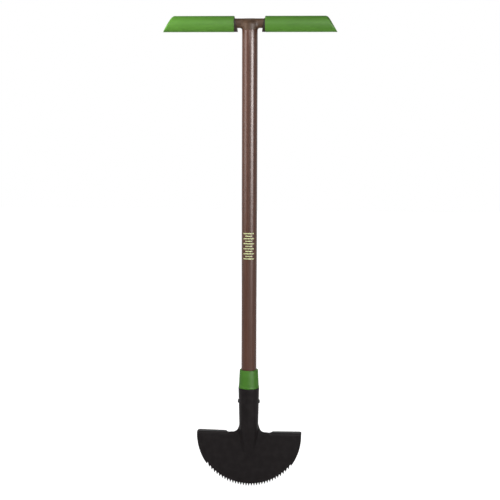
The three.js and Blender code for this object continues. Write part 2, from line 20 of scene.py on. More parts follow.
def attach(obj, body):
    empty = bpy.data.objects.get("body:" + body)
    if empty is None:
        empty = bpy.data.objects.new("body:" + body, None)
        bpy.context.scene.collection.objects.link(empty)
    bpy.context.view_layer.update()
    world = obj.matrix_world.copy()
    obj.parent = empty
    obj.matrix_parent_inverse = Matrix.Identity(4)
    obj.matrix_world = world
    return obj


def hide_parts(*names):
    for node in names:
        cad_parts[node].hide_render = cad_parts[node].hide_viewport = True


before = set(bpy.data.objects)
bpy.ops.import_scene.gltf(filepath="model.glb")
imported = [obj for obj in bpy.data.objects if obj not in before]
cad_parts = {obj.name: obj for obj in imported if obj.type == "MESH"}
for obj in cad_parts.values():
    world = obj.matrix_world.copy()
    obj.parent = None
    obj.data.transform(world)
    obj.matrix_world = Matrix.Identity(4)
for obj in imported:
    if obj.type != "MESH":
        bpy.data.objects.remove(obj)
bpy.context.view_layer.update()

log = logging.getLogger("edger")

MM = 0.001  # a millimetre in metres
FIT = 0.3 * MM  # gap between a piece and what it seats on or fits into
NEAR = 1e-6  # places closer than this, in metres, are the same
TINY = 1e-4  # a share that stands for none where none would divide by zero
FACING = 0.9  # how much of a normal lies along an axis when its face looks that way
TOOTH_COLUMNS = 5  # columns of the blade's grid for each tooth
QUARTER = math.pi / 2  # a quarter turn
ROOT = "root"  # the only body, as nothing on the tool moves

Colour = tuple[float, float, float]
Place = tuple[float, float]
Sockets = dict[str | int, Any]
Finisher = Callable[[bpy.types.Object], None]
Along = Callable[[float], float]


# Small sums


def lerp(low: float, high: float, share: float) -> float:
    """The number that lies a share of the way from low to high."""
    return low + (high - low) * share


def lerp_place(low: Place, high: Place, share: float) -> Place:
    """The place that lies a share of the way from low to high."""
    return lerp(low[0], high[0], share), lerp(low[1], high[1], share)


def smoothstep(value: float, low: float, high: float) -> float:
    """Rises smoothly from 0 at low to 1 at high."""
    share = min(1.0, max(0.0, (value - low) / (high - low)))
    return share * share * (3 - 2 * share)


def signed_power(value: float, power: float) -> float:
    """A power of a number that keeps the number's sign."""
    return math.copysign(abs(value) ** power, value)


def straight(place: float) -> Along:
    """A face across an arm: the same place along it at every height."""
    return lambda rise: place


# Shader graphs


class Value:
    """One socket of a shader graph. Arithmetic on it adds Math nodes."""

    def __init__(self, graph: "Graph", socket: bpy.types.NodeSocket) -> None:
        """Wraps a socket.

        Args:
            graph: The graph that the socket's node is in.
            socket: An output socket that carries a number.
        """
        self.graph = graph
        self.socket = socket

    def _math(self, operation: str, *terms: "Value | float") -> "Value":
        """Adds a Math node.

        Args:
            operation: The node's operation.
            terms: What goes into its sockets, in order.

        Returns:
            The node's result.
        """
        inputs = dict(enumerate(terms))
        return self.graph.value("ShaderNodeMath", {"operation": operation}, inputs)

    def __add__(self, other: "Value | float") -> "Value":
        """Sum."""
        return self._math("ADD", self, other)

    def __radd__(self, other: float) -> "Value":
        """Sum, from the right."""
        return self._math("ADD", other, self)

    def __sub__(self, other: "Value | float") -> "Value":
        """Difference."""
        return self._math("SUBTRACT", self, other)

    def __rsub__(self, other: float) -> "Value":
        """Difference, from the right."""
        return self._math("SUBTRACT", other, self)

    def __mul__(self, other: "Value | float") -> "Value":
        """Product."""
        return self._math("MULTIPLY", self, other)

    def __rmul__(self, other: float) -> "Value":
        """Product, from the right."""
        return self._math("MULTIPLY", other, self)

    def __lt__(self, other: "Value | float") -> "Value":
        """1 where this is less, otherwise 0."""
        return self._math("LESS_THAN", self, other)

    def __gt__(self, other: "Value | float") -> "Value":
        """1 where this is greater, otherwise 0."""
        return self._math("GREATER_THAN", self, other)

    def __mod__(self, other: float) -> "Value":
        """Remainder."""
        return self._math("MODULO", self, other)

    def __abs__(self) -> "Value":
        """Size without the sign."""
        return self._math("ABSOLUTE", self)

    def whole(self) -> "Value":
        """The whole number below."""
        return self._math("FLOOR", self)

    def either(self, other: "Value") -> "Value":
        """The greater of two."""
        return self._math("MAXIMUM", self, other)

    def ramp(self, low: float, high: float) -> "Value":
        """Rises smoothly from 0 to 1 and no further.

        Args:
            low: Where it leaves 0.
            high: Where it reaches 1.

        Returns:
            The share.
        """
        inputs = {"Value": self, "From Min": low, "From Max": high}
        smooth = {"interpolation_type": "SMOOTHSTEP"}
        return self.graph.value("ShaderNodeMapRange", smooth, inputs)


class Graph:
    """The nodes of one material or world."""

    def __init__(self, owner: bpy.types.Material | bpy.types.World) -> None:
        """Empties the owner's nodes.

        Args:
            owner: The material or world to give nodes.
        """
        owner.use_nodes = True
        self.tree = owner.node_tree
        self.tree.nodes.clear()

    def add(
        self,
        kind: str,
        settings: dict[str, Any] | None = None,
        inputs: Sockets | None = None,
    ) -> bpy.types.Node:
        """Adds a node.

        Args:
            kind: The node's type.
            settings: Its own settings, which are set first.
            inputs: What goes into its sockets, by name or place: a value, link or number.

        Returns:
            The node.
        """
        node = self.tree.nodes.new(kind)
        for name, setting in (settings or {}).items():
            setattr(node, name, setting)
        for place, given in (inputs or {}).items():
            socket = node.inputs[place]
            if isinstance(given, Value):
                given = given.socket
            if isinstance(given, bpy.types.NodeSocket):
                self.tree.links.new(given, socket)
            else:
                socket.default_value = given
        return node

    def value(
        self,
        kind: str,
        settings: dict[str, Any] | None = None,
        inputs: Sockets | None = None,
        output: str | int = 0,
    ) -> Value:
        """Adds a node and gives one of its results as a number.

        Args:
            kind: The node's type.
            settings: Its own settings.
            inputs: What goes into its sockets.
            output: Which result, by name or place.

        Returns:
            That result.
        """
        return Value(self, self.add(kind, settings, inputs).outputs[output])

    def place(self, stretch: Colour = (1, 1, 1)) -> bpy.types.NodeSocket:
        """The point on the object in metres, stretched along the three axes.

        Args:
            stretch: The stretch along X, Y and Z.

        Returns:
            The point.
        """
        point = self.add("ShaderNodeTexCoord").outputs["Object"]
        if stretch == (1, 1, 1):
            return point
        inputs = {"Vector": point, "Scale": stretch}
        return self.add("ShaderNodeMapping", None, inputs).outputs["Vector"]

    def noise(
        self,
        size: float,
        detail: float = 2.0,
        point: bpy.types.NodeSocket | None = None,
    ) -> Value:
        """Smooth noise from 0 to 1.

        Args:
            size: How large its blotches are, in metres.
            detail: How many finer layers it has.
            point: Where it is read, or None for the point on the object.

        Returns:
            The noise.
        """
        inputs = {"Vector": point or self.place(), "Scale": 1 / size, "Detail": detail}
        return self.value("ShaderNodeTexNoise", None, inputs, "Fac")

    def mix(self, share: Value | float, first: Any, second: Any) -> bpy.types.NodeSocket:
        """Mixes two colours.

        Args:
            share: How much of the second there is.
            first: A colour or a link.
            second: A colour or a link.

        Returns:
            The mixed colour.
        """
        full = [(*c, 1.0) if isinstance(c, tuple) else c for c in (first, second)]
        inputs = {0: share, 6: full[0], 7: full[1]}  # by place, as its sockets share names
        return self.add("ShaderNodeMix", {"data_type": "RGBA"}, inputs).outputs[2]

    def bump(self, height: Value, depth: float) -> bpy.types.NodeSocket:
        """A normal that follows a height from 0 to 1, whose whole range is that deep."""
        inputs = {"Height": height, "Distance": depth, "Strength": 1.0}
        return self.add("ShaderNodeBump", None, inputs).outputs["Normal"]

    def close(self, inputs: Sockets) -> None:
        """Ends the graph in a Principled shader with these sockets."""
        shader = self.add("ShaderNodeBsdfPrincipled", None, inputs)
        self.add("ShaderNodeOutputMaterial", None, {"Surface": shader.outputs[0]})


# Finishes


@dataclass(frozen=True)
class Finish:
    """A finish, which each kind of finish turns into a shader's sockets.

    Attributes:
        name: The material's name.
    """

    name: str

    def sockets(self, graph: Graph) -> Sockets:
        """Adds the finish's nodes.

        Args:
            graph: The graph to add them to.

        Returns:
            What goes into the shader.
        """
        raise NotImplementedError

    def material(self) -> bpy.types.Material:
        """Makes the material.

        Returns:
            The material.
        """
        made = bpy.data.materials.new(self.name)
        graph = Graph(made)
        graph.close(self.sockets(graph))
        return made


@dataclass(frozen=True)
class PowderCoat(Finish):
    """Black powder coat on steel: a fine pebbled skin with a faint mottle.

    Attributes:
        tone: The coat's colour.
        pale: The colour of its paler mottle.
        mottle: Size of the mottle.
        pale_range: Where in the mottle's noise the paler colour starts and is full.
        pebble: Size of a pebble of the skin.
        ripple: Size of the slower waves under the pebbles.
        pebble_share: The pebbles' part of the skin's height.
        depth: Height of the skin's relief.
        roughness: How soft its reflections are, at the least.
        roughness_spread: How much softer the mottle makes them.
        gloss: How strongly it mirrors.
    """

    tone: Colour = (0.0135, 0.011, 0.0115)
    pale: Colour = (0.0175, 0.0145, 0.015)
    mottle: float = 14 * MM
    pale_range: tuple[float, float] = (0.35, 0.7)
    pebble: float = 0.55 * MM
    ripple: float = 2.2 * MM
    pebble_share: float = 0.75
    depth: float = 0.03 * MM
    roughness: float = 0.4
    roughness_spread: float = 0.12
    gloss: float = 0.06

    def sockets(self, graph: Graph) -> Sockets:
        """Adds the finish's nodes.

        Args:
            graph: The graph to add them to.

        Returns:
            What goes into the shader.
        """
        mottle = graph.noise(self.mottle, 4)
        pebbles = graph.noise(self.pebble, 3)
        ripples = graph.noise(self.ripple, 1)
        height = pebbles * self.pebble_share + ripples * (1 - self.pebble_share)
        return {
            "Base Color": graph.mix(mottle.ramp(*self.pale_range), self.tone, self.pale),
            "Roughness": self.roughness + self.roughness_spread * mottle,
            "Specular IOR Level": self.gloss,
            "Normal": graph.bump(height, self.depth),
        }


@dataclass(frozen=True)
class TubePaint(Finish):
    """Semi-gloss paint on a drawn steel tube: shallow orange peel and faint long streaks.

    Attributes:
        tone: The paint's colour.
        dark: The colour in the streaks.
        streak: Width of a streak.
        streak_draw: A streak's width as a share of its length.
        dark_range: Where in the streaks' noise the darker colour starts and is full.
        peel: Size of the orange peel.
        grit: Size of the fine grit in it.
        peel_share: The orange peel's part of the relief's height.
        depth: Height of the relief.
        roughness: How soft its reflections are, at the least.
        roughness_spread: How much softer the grit makes them.
        gloss: How strongly it mirrors.
    """

    tone: Colour = (0.116, 0.046, 0.027)
    dark: Colour = (0.103, 0.039, 0.022)
    streak: float = 3.2 * MM
    streak_draw: float = 0.02
    dark_range: tuple[float, float] = (0.3, 0.75)
    peel: float = 2.6 * MM
    grit: float = 0.45 * MM
    peel_share: float = 0.85
    depth: float = 0.014 * MM
    roughness: float = 0.24
    roughness_spread: float = 0.09
    gloss: float = 0.25

    def sockets(self, graph: Graph) -> Sockets:
        """Adds the paint's nodes, for the tube and for what is printed on it.

        Args:
            graph: The graph to add them to.

        Returns:
            What goes into the shader.
        """
        streaks = graph.noise(self.streak, 3, graph.place((1, 1, self.streak_draw)))
        peel = graph.noise(self.peel)
        grit = graph.noise(self.grit)
        height = peel * self.peel_share + grit * (1 - self.peel_share)
        return {
            "Base Color": graph.mix(streaks.ramp(*self.dark_range), self.tone, self.dark),
            "Roughness": self.roughness + self.roughness_spread * grit,
            "Specular IOR Level": self.gloss,
            "Normal": graph.bump(height, self.depth),
        }


@dataclass(frozen=True)
class PrintedBand(Finish):
    """Cream ink in plain level bars, printed over the tube's paint.

    Attributes:
        paint: The paint that it is printed on.
        ink: The ink's colour.
        bars: How many bars there are, from the foot to the top.
        thickness: A bar's height as a share of the step from bar to bar.
        long: A long bar's width as a share of the band's.
        short: A short bar's width as a share of the band's.
        ragged: Size of the raggedness of the bars' edges.
        ragged_depth: How far it reaches, as a share of the band's width.
        ragged_rise: How much further it reaches upwards, as a share of a step.
        speckle: Size of the gaps in the ink.
        ink_range: Where in the gaps' noise the ink starts and is full.
    """

    paint: TubePaint
    ink: Colour = (0.86, 0.93, 0.48)
    bars: int = 11
    thickness: float = 0.42
    long: float = 0.92
    short: float = 0.56
    ragged: float = 0.5 * MM
    ragged_depth: float = 0.012
    ragged_rise: float = 4
    speckle: float = 0.35 * MM
    ink_range: tuple[float, float] = (0.28, 0.42)

    def sockets(self, graph: Graph) -> Sockets:
        """Adds the paint's nodes, with the bars over its colour.

        Args:
            graph: The graph to add them to.

        Returns:
            What goes into the shader.
        """
        sockets = self.paint.sockets(graph)
        uv = graph.add("ShaderNodeUVMap", {"uv_map": "UVMap"}).outputs[0]
        split = graph.add("ShaderNodeSeparateXYZ", None, {0: uv}).outputs
        ragged = (graph.noise(self.ragged) - 0.5) * self.ragged_depth
        from_centre = abs(Value(graph, split["X"]) - 0.5) + ragged
        steps = Value(graph, split["Y"]) * self.bars
        from_middle = abs(steps % 1 - 0.5) + ragged * self.ragged_rise
        is_long = 1 - steps.whole() % 2
        width = self.short + (self.long - self.short) * is_long
        bar = (from_middle < self.thickness / 2) * (from_centre < width * 0.5)
        inked = graph.noise(self.speckle, 3).ramp(*self.ink_range)
        sockets["Base Color"] = graph.mix(bar * inked, sockets["Base Color"], self.ink)
        return sockets


@dataclass(frozen=True)
class Moulding(Finish):
    """Moulded plastic or rubber: a fine spark-eroded texture with faint flow marks.

    Attributes:
        tone: The plastic's colour.
        flow: The colour of the flow marks.
        mark: Size of a flow mark.
        mark_range: Where in the marks' noise their colour starts and is full.
        along: How the flow marks are drawn out, as a stretch along X, Y and Z.
        grain: Size of the texture's grain.
        depth: Height of the grain.
        roughness: How soft its reflections are, at the least.
        roughness_spread: How much softer the grain makes them.
        gloss: How strongly it mirrors.
    """

    tone: Colour
    flow: Colour
    mark: float = 16 * MM
    mark_range: tuple[float, float] = (0.3, 0.75)
    along: Colour = (1, 1, 1)
    grain: float = 0.35 * MM
    depth: float = 0.02 * MM
    roughness: float = 0.42
    roughness_spread: float = 0.1
    gloss: float = 0.14

    def sockets(self, graph: Graph) -> Sockets:
        """Adds the finish's nodes.

        Args:
            graph: The graph to add them to.

        Returns:
            What goes into the shader.
        """
        marks = graph.noise(self.mark, 3, graph.place(self.along))
        grain = graph.noise(self.grain, 3)
        return {
            "Base Color": graph.mix(marks.ramp(*self.mark_range), self.tone, self.flow),
            "Roughness": self.roughness + self.roughness_spread * grain,
            "Specular IOR Level": self.gloss,
            "Normal": graph.bump(grain, self.depth),
        }


@dataclass(frozen=True)
class ZincPlate(Finish):
    """Bright zinc plate on a steel screw, with fine turning marks and a dull patch or two.

    Attributes:
        tone: The plate's colour.
        dull: The colour of its dull patches.
        patch: Size of a dull patch.
        dull_range: Where in the patches' noise the dull colour starts and is full.
        mark: Size of a turning mark.
        depth: Depth of the turning marks.
        roughness: How soft its reflections are where it is bright.
        roughness_spread: How much softer they are where it is dull.
    """

    tone: Colour = (0.62, 0.62, 0.6)
    dull: Colour = (0.42, 0.42, 0.39)
    patch: float = 2.4 * MM
    dull_range: tuple[float, float] = (0.45, 0.7)
    mark: float = 0.3 * MM
    depth: float = 0.008 * MM
    roughness: float = 0.28
    roughness_spread: float = 0.22

    def sockets(self, graph: Graph) -> Sockets:
        """Adds the finish's nodes.

        Args:
            graph: The graph to add them to.

        Returns:
            What goes into the shader.
        """
        patches = graph.noise(self.patch, 3).ramp(*self.dull_range)
        return {
            "Base Color": graph.mix(patches, self.tone, self.dull),
            "Metallic": 1.0,
            "Roughness": self.roughness + self.roughness_spread * patches,
            "Normal": graph.bump(graph.noise(self.mark), self.depth),
        }


# Making pieces


class Shading(Enum):
    """How sharp a fold may be and still be shaded smooth."""

    ROUND = math.radians(35)
    SHEET = math.radians(28)


class Corner(NamedTuple):
    """A corner of a turned profile: its radius, its height and how far it is rounded."""

    radius: float
    height: float
    rounding: float = 0.0


@dataclass
class Piece:
    """A named piece of the object that stands for one CAD node.

    Attributes:
        name: The piece's name.
        node: The CAD node that it replaces.
        slot: The record's material slot; not used.
    """

    name: str
    node: str
    slot: str

    def publish(
        self,
        mesh: BMesh,
        material: bpy.types.Material,
        shading: Shading = Shading.ROUND,
        finishers: Iterable[Finisher] = (),
    ) -> None:
        """Makes the finished object from a mesh.

        Args:
            mesh: The piece's mesh, in the row frame. It is freed.
            material: The piece's finish.
            shading: How sharp a fold may be and still be shaded smooth.
            finishers: What adds each modifier that is applied, in order.
        """
        data = bpy.data.meshes.new(self.name)
        mesh.to_mesh(data)
        mesh.free()
        made = bpy.data.objects.new(self.name, data)
        bpy.context.scene.collection.objects.link(made)
        for add in finishers:
            add(made)
        if made.modifiers:
            whole = made.evaluated_get(bpy.context.evaluated_depsgraph_get())
            made.data = bpy.data.meshes.new_from_object(whole)
            made.modifiers.clear()
            bpy.data.meshes.remove(data)
            made.data.name = self.name
        made.data.shade_smooth()
        made.data.set_sharp_from_angle(angle=shading.value)
        made.data.materials.clear()
        made.data.materials.append(material)
        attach(made, ROOT)
        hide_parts(self.node)
        log.info("%s: %d faces", self.name, len(made.data.polygons))


def thicken(thickness: float, offset: float = 0.0, even: bool = True) -> Finisher:
    """Gives a sheet its thickness.

    Args:
        thickness: How thick it gets.
        offset: 0 for half to each side, 1 for all of it outwards.
        even: Whether the wall is kept even round bends.

    Returns:
        What adds the modifier.
    """

    def add(made: bpy.types.Object) -> None:
        """Adds the modifier.

        Args:
            made: The object to add it to.
        """
        wall = made.modifiers.new("wall", "SOLIDIFY")
        wall.thickness = thickness
        wall.offset = offset
        wall.use_even_offset = even
        wall.use_quality_normals = even

    return add


def ease(width: float, segments: int) -> Finisher:
    """Rounds the edges that carry a bevel weight.

    Args:
        width: How far they are rounded at a weight of 1.
        segments: Facets across each rounding.

    Returns:
        What adds the modifier.
    """

    def add(made: bpy.types.Object) -> None:
        """Adds the modifier.

        Args:
            made: The object to add it to.
        """
        edge = made.modifiers.new("edge", "BEVEL")
        edge.limit_method = "WEIGHT"
        edge.width = width
        edge.segments = segments
        edge.use_clamp_overlap = False

    return add


def everything(mesh: BMesh) -> list[Any]:
    """Everything in a mesh, for an operator that takes all of it."""
    return mesh.verts[:] + mesh.edges[:] + mesh.faces[:]


def circle_edges(mesh: BMesh, radius: float, height: float) -> list[BMEdge]:
    """The edges of a turned mesh that run round the axis at one radius and height.

    Args:
        mesh: The mesh that they are in.
        radius: Their radius.
        height: Their height.

    Returns:
        The edges.
    """

    def on_circle(vert: BMVert) -> bool:
        """Whether the vertex is on that circle."""
        out = math.hypot(vert.co.x, vert.co.y)
        return abs(out - radius) < NEAR and abs(vert.co.z - height) < NEAR

    return [edge for edge in mesh.edges if all(map(on_circle, edge.verts))]


def turned(corners: Sequence[Corner], steps: int, segments: int = 3) -> BMesh:
    """Turns a profile about Z.

    Args:
        corners: The profile, from one end to the other. It closes on the axis or on itself.
        steps: Facets round the axis.
        segments: Facets across each rounding.

    Returns:
        The closed mesh, facing outwards.
    """
    mesh = bmesh.new()
    verts = [mesh.verts.new((corner.radius, 0, corner.height)) for corner in corners]
    for first, second in zip(verts, verts[1:]):
        mesh.edges.new((first, second))
    if corners[0].radius > 0:
        mesh.edges.new((verts[-1], verts[0]))
    bmesh.ops.spin(
        mesh,
        geom=mesh.verts[:] + mesh.edges[:],
        cent=(0, 0, 0),
        axis=(0, 0, 1),
        angle=2 * math.pi,
        steps=steps,
        use_merge=True,
    )
    bmesh.ops.remove_doubles(mesh, verts=mesh.verts[:], dist=NEAR)
    bmesh.ops.recalc_face_normals(mesh, faces=mesh.faces[:])
    for corner in corners:
        if corner.rounding > 0:
            bmesh.ops.bevel(
                mesh,
                geom=circle_edges(mesh, corner.radius, corner.height),
                offset=corner.rounding,
                offset_type="OFFSET",
                affect="EDGES",
                segments=segments,
                profile=0.5,
                material=-1,
                clamp_overlap=True,
            )
    return mesh


def grow(mesh: BMesh, last: Sequence[BMEdge]) -> tuple[list[BMEdge], list[BMVert]]:
    """Draws a row or ring of edges out into the next one.

    Args:
        mesh: The mesh that they are in.
        last: The edges.

    Returns:
        The new edges and vertices, still where the last ones are.
    """
    grown = bmesh.ops.extrude_edge_only(mesh, edges=last)["geom"]
    edges = [item for item in grown if isinstance(item, BMEdge)]
    return edges, [item for item in grown if isinstance(item, BMVert)]


def fill_ends(mesh: BMesh) -> None:
    """Closes every open end of a mesh and turns its faces outwards."""
    bmesh.ops.holes_fill(mesh, edges=[edge for edge in mesh.edges if edge.is_boundary])
    bmesh.ops.recalc_face_normals(mesh, faces=mesh.faces[:])


def dome(radius: float, height: float, foot: float, steps: int = 7) -> list[Corner]:
    """The profile of a domed head, from its rim to its crown.

    Args:
        radius: The rim's radius.
        height: Height of the crown over the rim.
        foot: Height of the rim.
        steps: Facets from the rim to the crown.

    Returns:
        The profile's corners.
    """
    turns = [QUARTER * k / steps for k in range(steps)]
    skin = [Corner(radius * math.cos(turn), foot + height * math.sin(turn)) for turn in turns]
    return [*skin, Corner(0, foot + height)]


# The blade head


class SheetLevel(NamedTuple):
    """How the blade's sheet runs at one level, as the middle of its thickness."""

    mid_radius: float
    height: float
    crown: float
    valley: float
    flank: float
    roll: float


@dataclass
class BladeHead:
    """Half-moon blade, raised rib, treads and rolled socket, pressed from one sheet.

    Attributes:
        sheet: Thickness of the steel.
        radius: Blade's radius to the tooth tips.
        setback: Tube's axis to the middle of the sheet.
        teeth: Number of steps from tooth to tooth on one side.
        toothed: Tube's axis to the outermost tooth tip.
        tooth_depth: Depth of the teeth, straight up from their tips.
        tooth_flat: Width of a tooth's blunt tip.
        gullet: Width of the floor between two teeth.
        gullet_rise: That floor to the first row of the grid above it.
        rim_turn: Outermost tooth tip to that row's end, as a turn round the rim.
        tread_inner: Tube's axis to the inner end of a tread.
        tread_depth: Depth of a tread at its inner end and at its outer end.
        tread_bend: Radius of the fold, at the middle of the sheet.
        tread_corner: Rounding of a tread's rear corners.
        fold_run: Length over which a tread's fold closes, from its inner end.
        tread_run: Length over which a tread gains its depth there.
        fold: Level at which the treads start to turn back.
        shoulder: Level of the shoulder's edge.
        rib_tip: Level at which the rib fades out.
        neck: Level at which the sheet becomes the socket.
        fillet: Height of the curved shoulder's edge, from the shoulder to the neck.
        fillet_power: How closely that edge hugs its corner, 2 for an ellipse.
        flare_share: Share of that height at which the edge turns to the back.
        seam_start: Level at which the seam reaches its narrow width.
        seam_gap: Width of the open seam.
        mouth: Level of the socket's mouth.
        mouth_radius: Outer radius of the mouth.
        taper: Fall of the socket's radius for each metre down.
        valley: Hollow radius beside the rib, at the neck.
        tip_share: The rib's radii at its tip, of those at the neck.
        edge: Rounding of the sheet's edges.
        tooth_edge_share: Rounding of the teeth's edges, of the others'.
        weld: Distance within which the two grids are joined.
        tread_seam: How far to each side of a tread's inner end its foot is joined up.
        tread_weld: Distance within which it is joined up there.
        edge_facets: Facets across the rounding of the sheet's edges.
        blade_rows: Rows of the blade's grid.
        inner_columns: Columns from the middle to a tread's inner end.
        fillet_rows: Rows along the curved shoulder.
        flare_rows: Rows from there to the narrow seam.
        socket_rows: Rows along the straight seam.
        bend_rows: Rows round a tread's fold.
        flange_rows: Rows from the fold to a tread's edge.
        trace_steps: Steps in which a section's bends are added up.
    """

    sheet: float = 2 * MM
    radius: float = 111.5 * MM
    setback: float = 4 * MM
    teeth: int = 16
    toothed: float = 91 * MM
    tooth_depth: float = 5.5 * MM
    tooth_flat: float = 0.9 * MM
    gullet: float = 1.5 * MM
    gullet_rise: float = 0.8 * MM
    rim_turn: float = math.radians(2)
    tread_inner: float = 41 * MM
    tread_depth: tuple[float, float] = (16 * MM, 20 * MM)
    tread_bend: float = 4 * MM
    tread_corner: float = 6 * MM
    fold_run: float = 6 * MM
    tread_run: float = 10 * MM
    fold: float = 112.3 * MM
    shoulder: float = 118.3 * MM
    rib_tip: float = 50.3 * MM
    neck: float = 140.3 * MM
    fillet: float = 22 * MM
    fillet_power: float = 2.7
    flare_share: float = 0.5
    seam_start: float = 160.3 * MM
    seam_gap: float = 4 * MM
    mouth: float = 216.8 * MM
    mouth_radius: float = 22 * MM
    taper: float = 1.6 / 66.5
    valley: float = 10 * MM
    tip_share: float = 0.6
    edge: float = 0.35 * MM
    tooth_edge_share: float = 0.4
    weld: float = 0.005 * MM
    tread_seam: float = 0.02 * MM
    tread_weld: float = 0.05 * MM
    edge_facets: int = 2
    blade_rows: int = 30
    inner_columns: int = 36
    fillet_rows: int = 14
    flare_rows: int = 16
    socket_rows: int = 16
    bend_rows: int = 8
    flange_rows: int = 12
    trace_steps: int = 40

    @property
    def columns(self) -> int:
        """Columns of the blade's grid on one side."""
        return TOOTH_COLUMNS * self.teeth

    @property
    def flare(self) -> float:
        """Level above which the shoulder's edge turns to the back."""
        return self.neck - self.fillet * self.flare_share

    @property
    def tread_outer(self) -> float:
        """Tube's axis to the outer end of a tread."""
        return math.sqrt(self.radius**2 - (self.radius - self.fold) ** 2)

    def socket_radius(self, level: float) -> float:
        """Outer radius of the socket at a level."""
        return self.mouth_radius - self.taper * (self.mouth - level)

    def level_at(self, level: float) -> SheetLevel:
        """How the sheet runs at a level.

        Args:
            level: The level.

        Returns:
            The rib's height and radii and how far the sheet is rolled up.
        """
        mid_radius = self.socket_radius(max(level, self.neck)) - self.sheet / 2
        rise = min(1.0, max(0.0, (level - self.rib_tip) / (self.neck - self.rib_tip)))
        height = (self.setback + mid_radius) * smoothstep(rise, 0, 1)
        share = lerp(self.tip_share, 1, rise)
        crown = mid_radius * share
        valley = self.valley * share
        flank = math.acos(1 - height / (crown + valley))
        roll = smoothstep(level, self.shoulder, self.neck)
        return SheetLevel(mid_radius, height, crown, valley, flank, roll)

    def bend(self, at: SheetLevel, distance: float) -> float:
        """The sheet's turn from straight across.

        Args:
            at: The level.
            distance: Distance round the sheet from its middle line.

        Returns:
            The turn as an angle.
        """
        crown_arc = at.crown * at.flank
        if distance < crown_arc:
            rib = distance / at.crown
        else:
            rib = max(0.0, at.flank - (distance - crown_arc) / at.valley)
        return lerp(rib, distance / at.mid_radius, at.roll)

    def trace(self, level: float, distance: float) -> Vector:
        """The point of the sheet at a level and a distance round from its middle line.

        Args:
            level: The level.
            distance: The distance, negative to the left.

        Returns:
            The point.
        """
        at = self.level_at(level)
        step = abs(distance) / self.trace_steps
        x = 0.0
        y = self.setback - at.height
        for k in range(self.trace_steps):
            turn = self.bend(at, step * (k + 0.5))
            x += step * math.cos(turn)
            y += step * math.sin(turn)
        return Vector((math.copysign(x, distance), y, level))

    def distance_to(self, level: float, reach: float) -> float:
        """How far round the sheet a place lies that is some way out from the tube's axis.

        Args:
            level: The place's level.
            reach: How far out it is.

        Returns:
            The distance round from the middle line.
        """
        low, high = 0.0, reach * 2
        for _ in range(self.trace_steps):
            middle = (low + high) / 2
            if self.trace(level, middle).x < reach:
                low = middle
            else:
                high = middle
        return high

    def fillet_reach(self, level: float) -> float:
        """How far out the shoulder's curved edge stands.

        Args:
            level: The level.

        Returns:
            Its distance from the tube's axis.
        """
        down = (self.neck - level) / self.fillet
        spread = self.tread_inner - self.socket_radius(self.neck)
        full = max(0.0, 1 - down**self.fillet_power) ** (1 / self.fillet_power)
        return self.tread_inner - spread * full

    def edge_distance(self, level: float) -> float:
        """The sheet's half width, measured round it.

        Args:
            level: A level above the fold.

        Returns:
            The half width.
        """
        if level < self.shoulder:
            return self.distance_to(level, self.tread_inner)
        if level <= self.flare:
            return self.distance_to(level, self.fillet_reach(level))
        seam_edge = math.pi * self.level_at(level).mid_radius - self.seam_gap / 2
        start = self.edge_distance(self.flare)
        return lerp(start, seam_edge, smoothstep(level, self.flare, self.seam_start))

    def rim_level(self, reach: float) -> float:
        """Level of the half-moon's rim at a distance from the tube's axis."""
        return self.radius - math.sqrt(self.radius**2 - reach**2)

    def on_sheet(self, reach: float, level: float) -> Place:
        """A place on the sheet, from where it is seen from the front.

        Args:
            reach: Its distance from the tube's axis.
            level: Its level.

        Returns:
            Its distance round and its level.
        """
        if level <= self.rib_tip:
            return reach, level
        return self.distance_to(level, reach), level

    def rim_point(self, angle: float) -> Place:
        """The rim at an angle below level, as its distance round and its level."""
        return self.on_sheet(self.radius * math.cos(angle), self.radius * (1 - math.sin(angle)))

    def tooth_point(self, column: int) -> Place:
        """The rim's point at the foot of a column.

        Args:
            column: The column, counted from the middle out.

        Returns:
            Its distance round and its level.
        """
        pitch = self.toothed / self.teeth
        tooth, part = divmod(column, TOOTH_COLUMNS)
        flat, gullet = self.tooth_flat / 2, self.gullet / 2
        floor = (pitch / 2 - gullet, pitch / 2 + gullet)
        offset = (0.0, flat, *floor, pitch - flat)[part]
        reach = pitch * tooth + offset
        depth = self.tooth_depth if offset in floor else 0.0
        return self.on_sheet(reach, self.rim_level(reach) + depth)

    def fold_places(self) -> list[Place]:
        """Where the right half of the blade grid's top row goes, on the fold.

        Returns:
            Its places, as distance round and level.
        """
        inner = self.distance_to(self.fold, self.tread_inner)
        outer = self.distance_to(self.fold, self.tread_outer)
        count = self.inner_columns
        places = [(inner * i / count, self.fold) for i in range(count + 1)]
        beyond = self.columns - count
        places += [(lerp(inner, outer, i / beyond), self.fold) for i in range(1, beyond + 1)]
        return places

    def blade_places(self) -> list[list[Place]]:
        """Where the right half of the blade's grid goes, from the rim up.

        Returns:
            Rows of distance round and level.
        """
        count = self.columns
        start = math.asin((self.radius - self.fold) / self.radius)
        end = math.acos(self.toothed / self.radius) - self.rim_turn
        over = self.tooth_depth + self.gullet_rise
        reaches = [self.toothed * i / count for i in range(count)]
        foot = [self.on_sheet(reach, self.rim_level(reach) + over) for reach in reaches]
        foot.append(self.rim_point(end))
        top = self.fold_places()
        rows = [[self.tooth_point(i) for i in range(count + 1)]]
        for j in range(self.blade_rows):
            v = j / (self.blade_rows - 1)
            left = (0.0, lerp(foot[0][1], self.fold, v))
            right = self.rim_point(lerp(end, start, v))
            row = []
            for i in range(count + 1):
                u = i / count
                across = lerp_place(left, right, u)
                up = lerp_place(foot[i], top[i], v)
                low = lerp_place(foot[0], foot[-1], u)
                high = lerp_place(top[0], top[-1], u)
                both = lerp_place(low, high, v)
                row.append((across[0] + up[0] - both[0], across[1] + up[1] - both[1]))
            rows.append(row)
        return rows

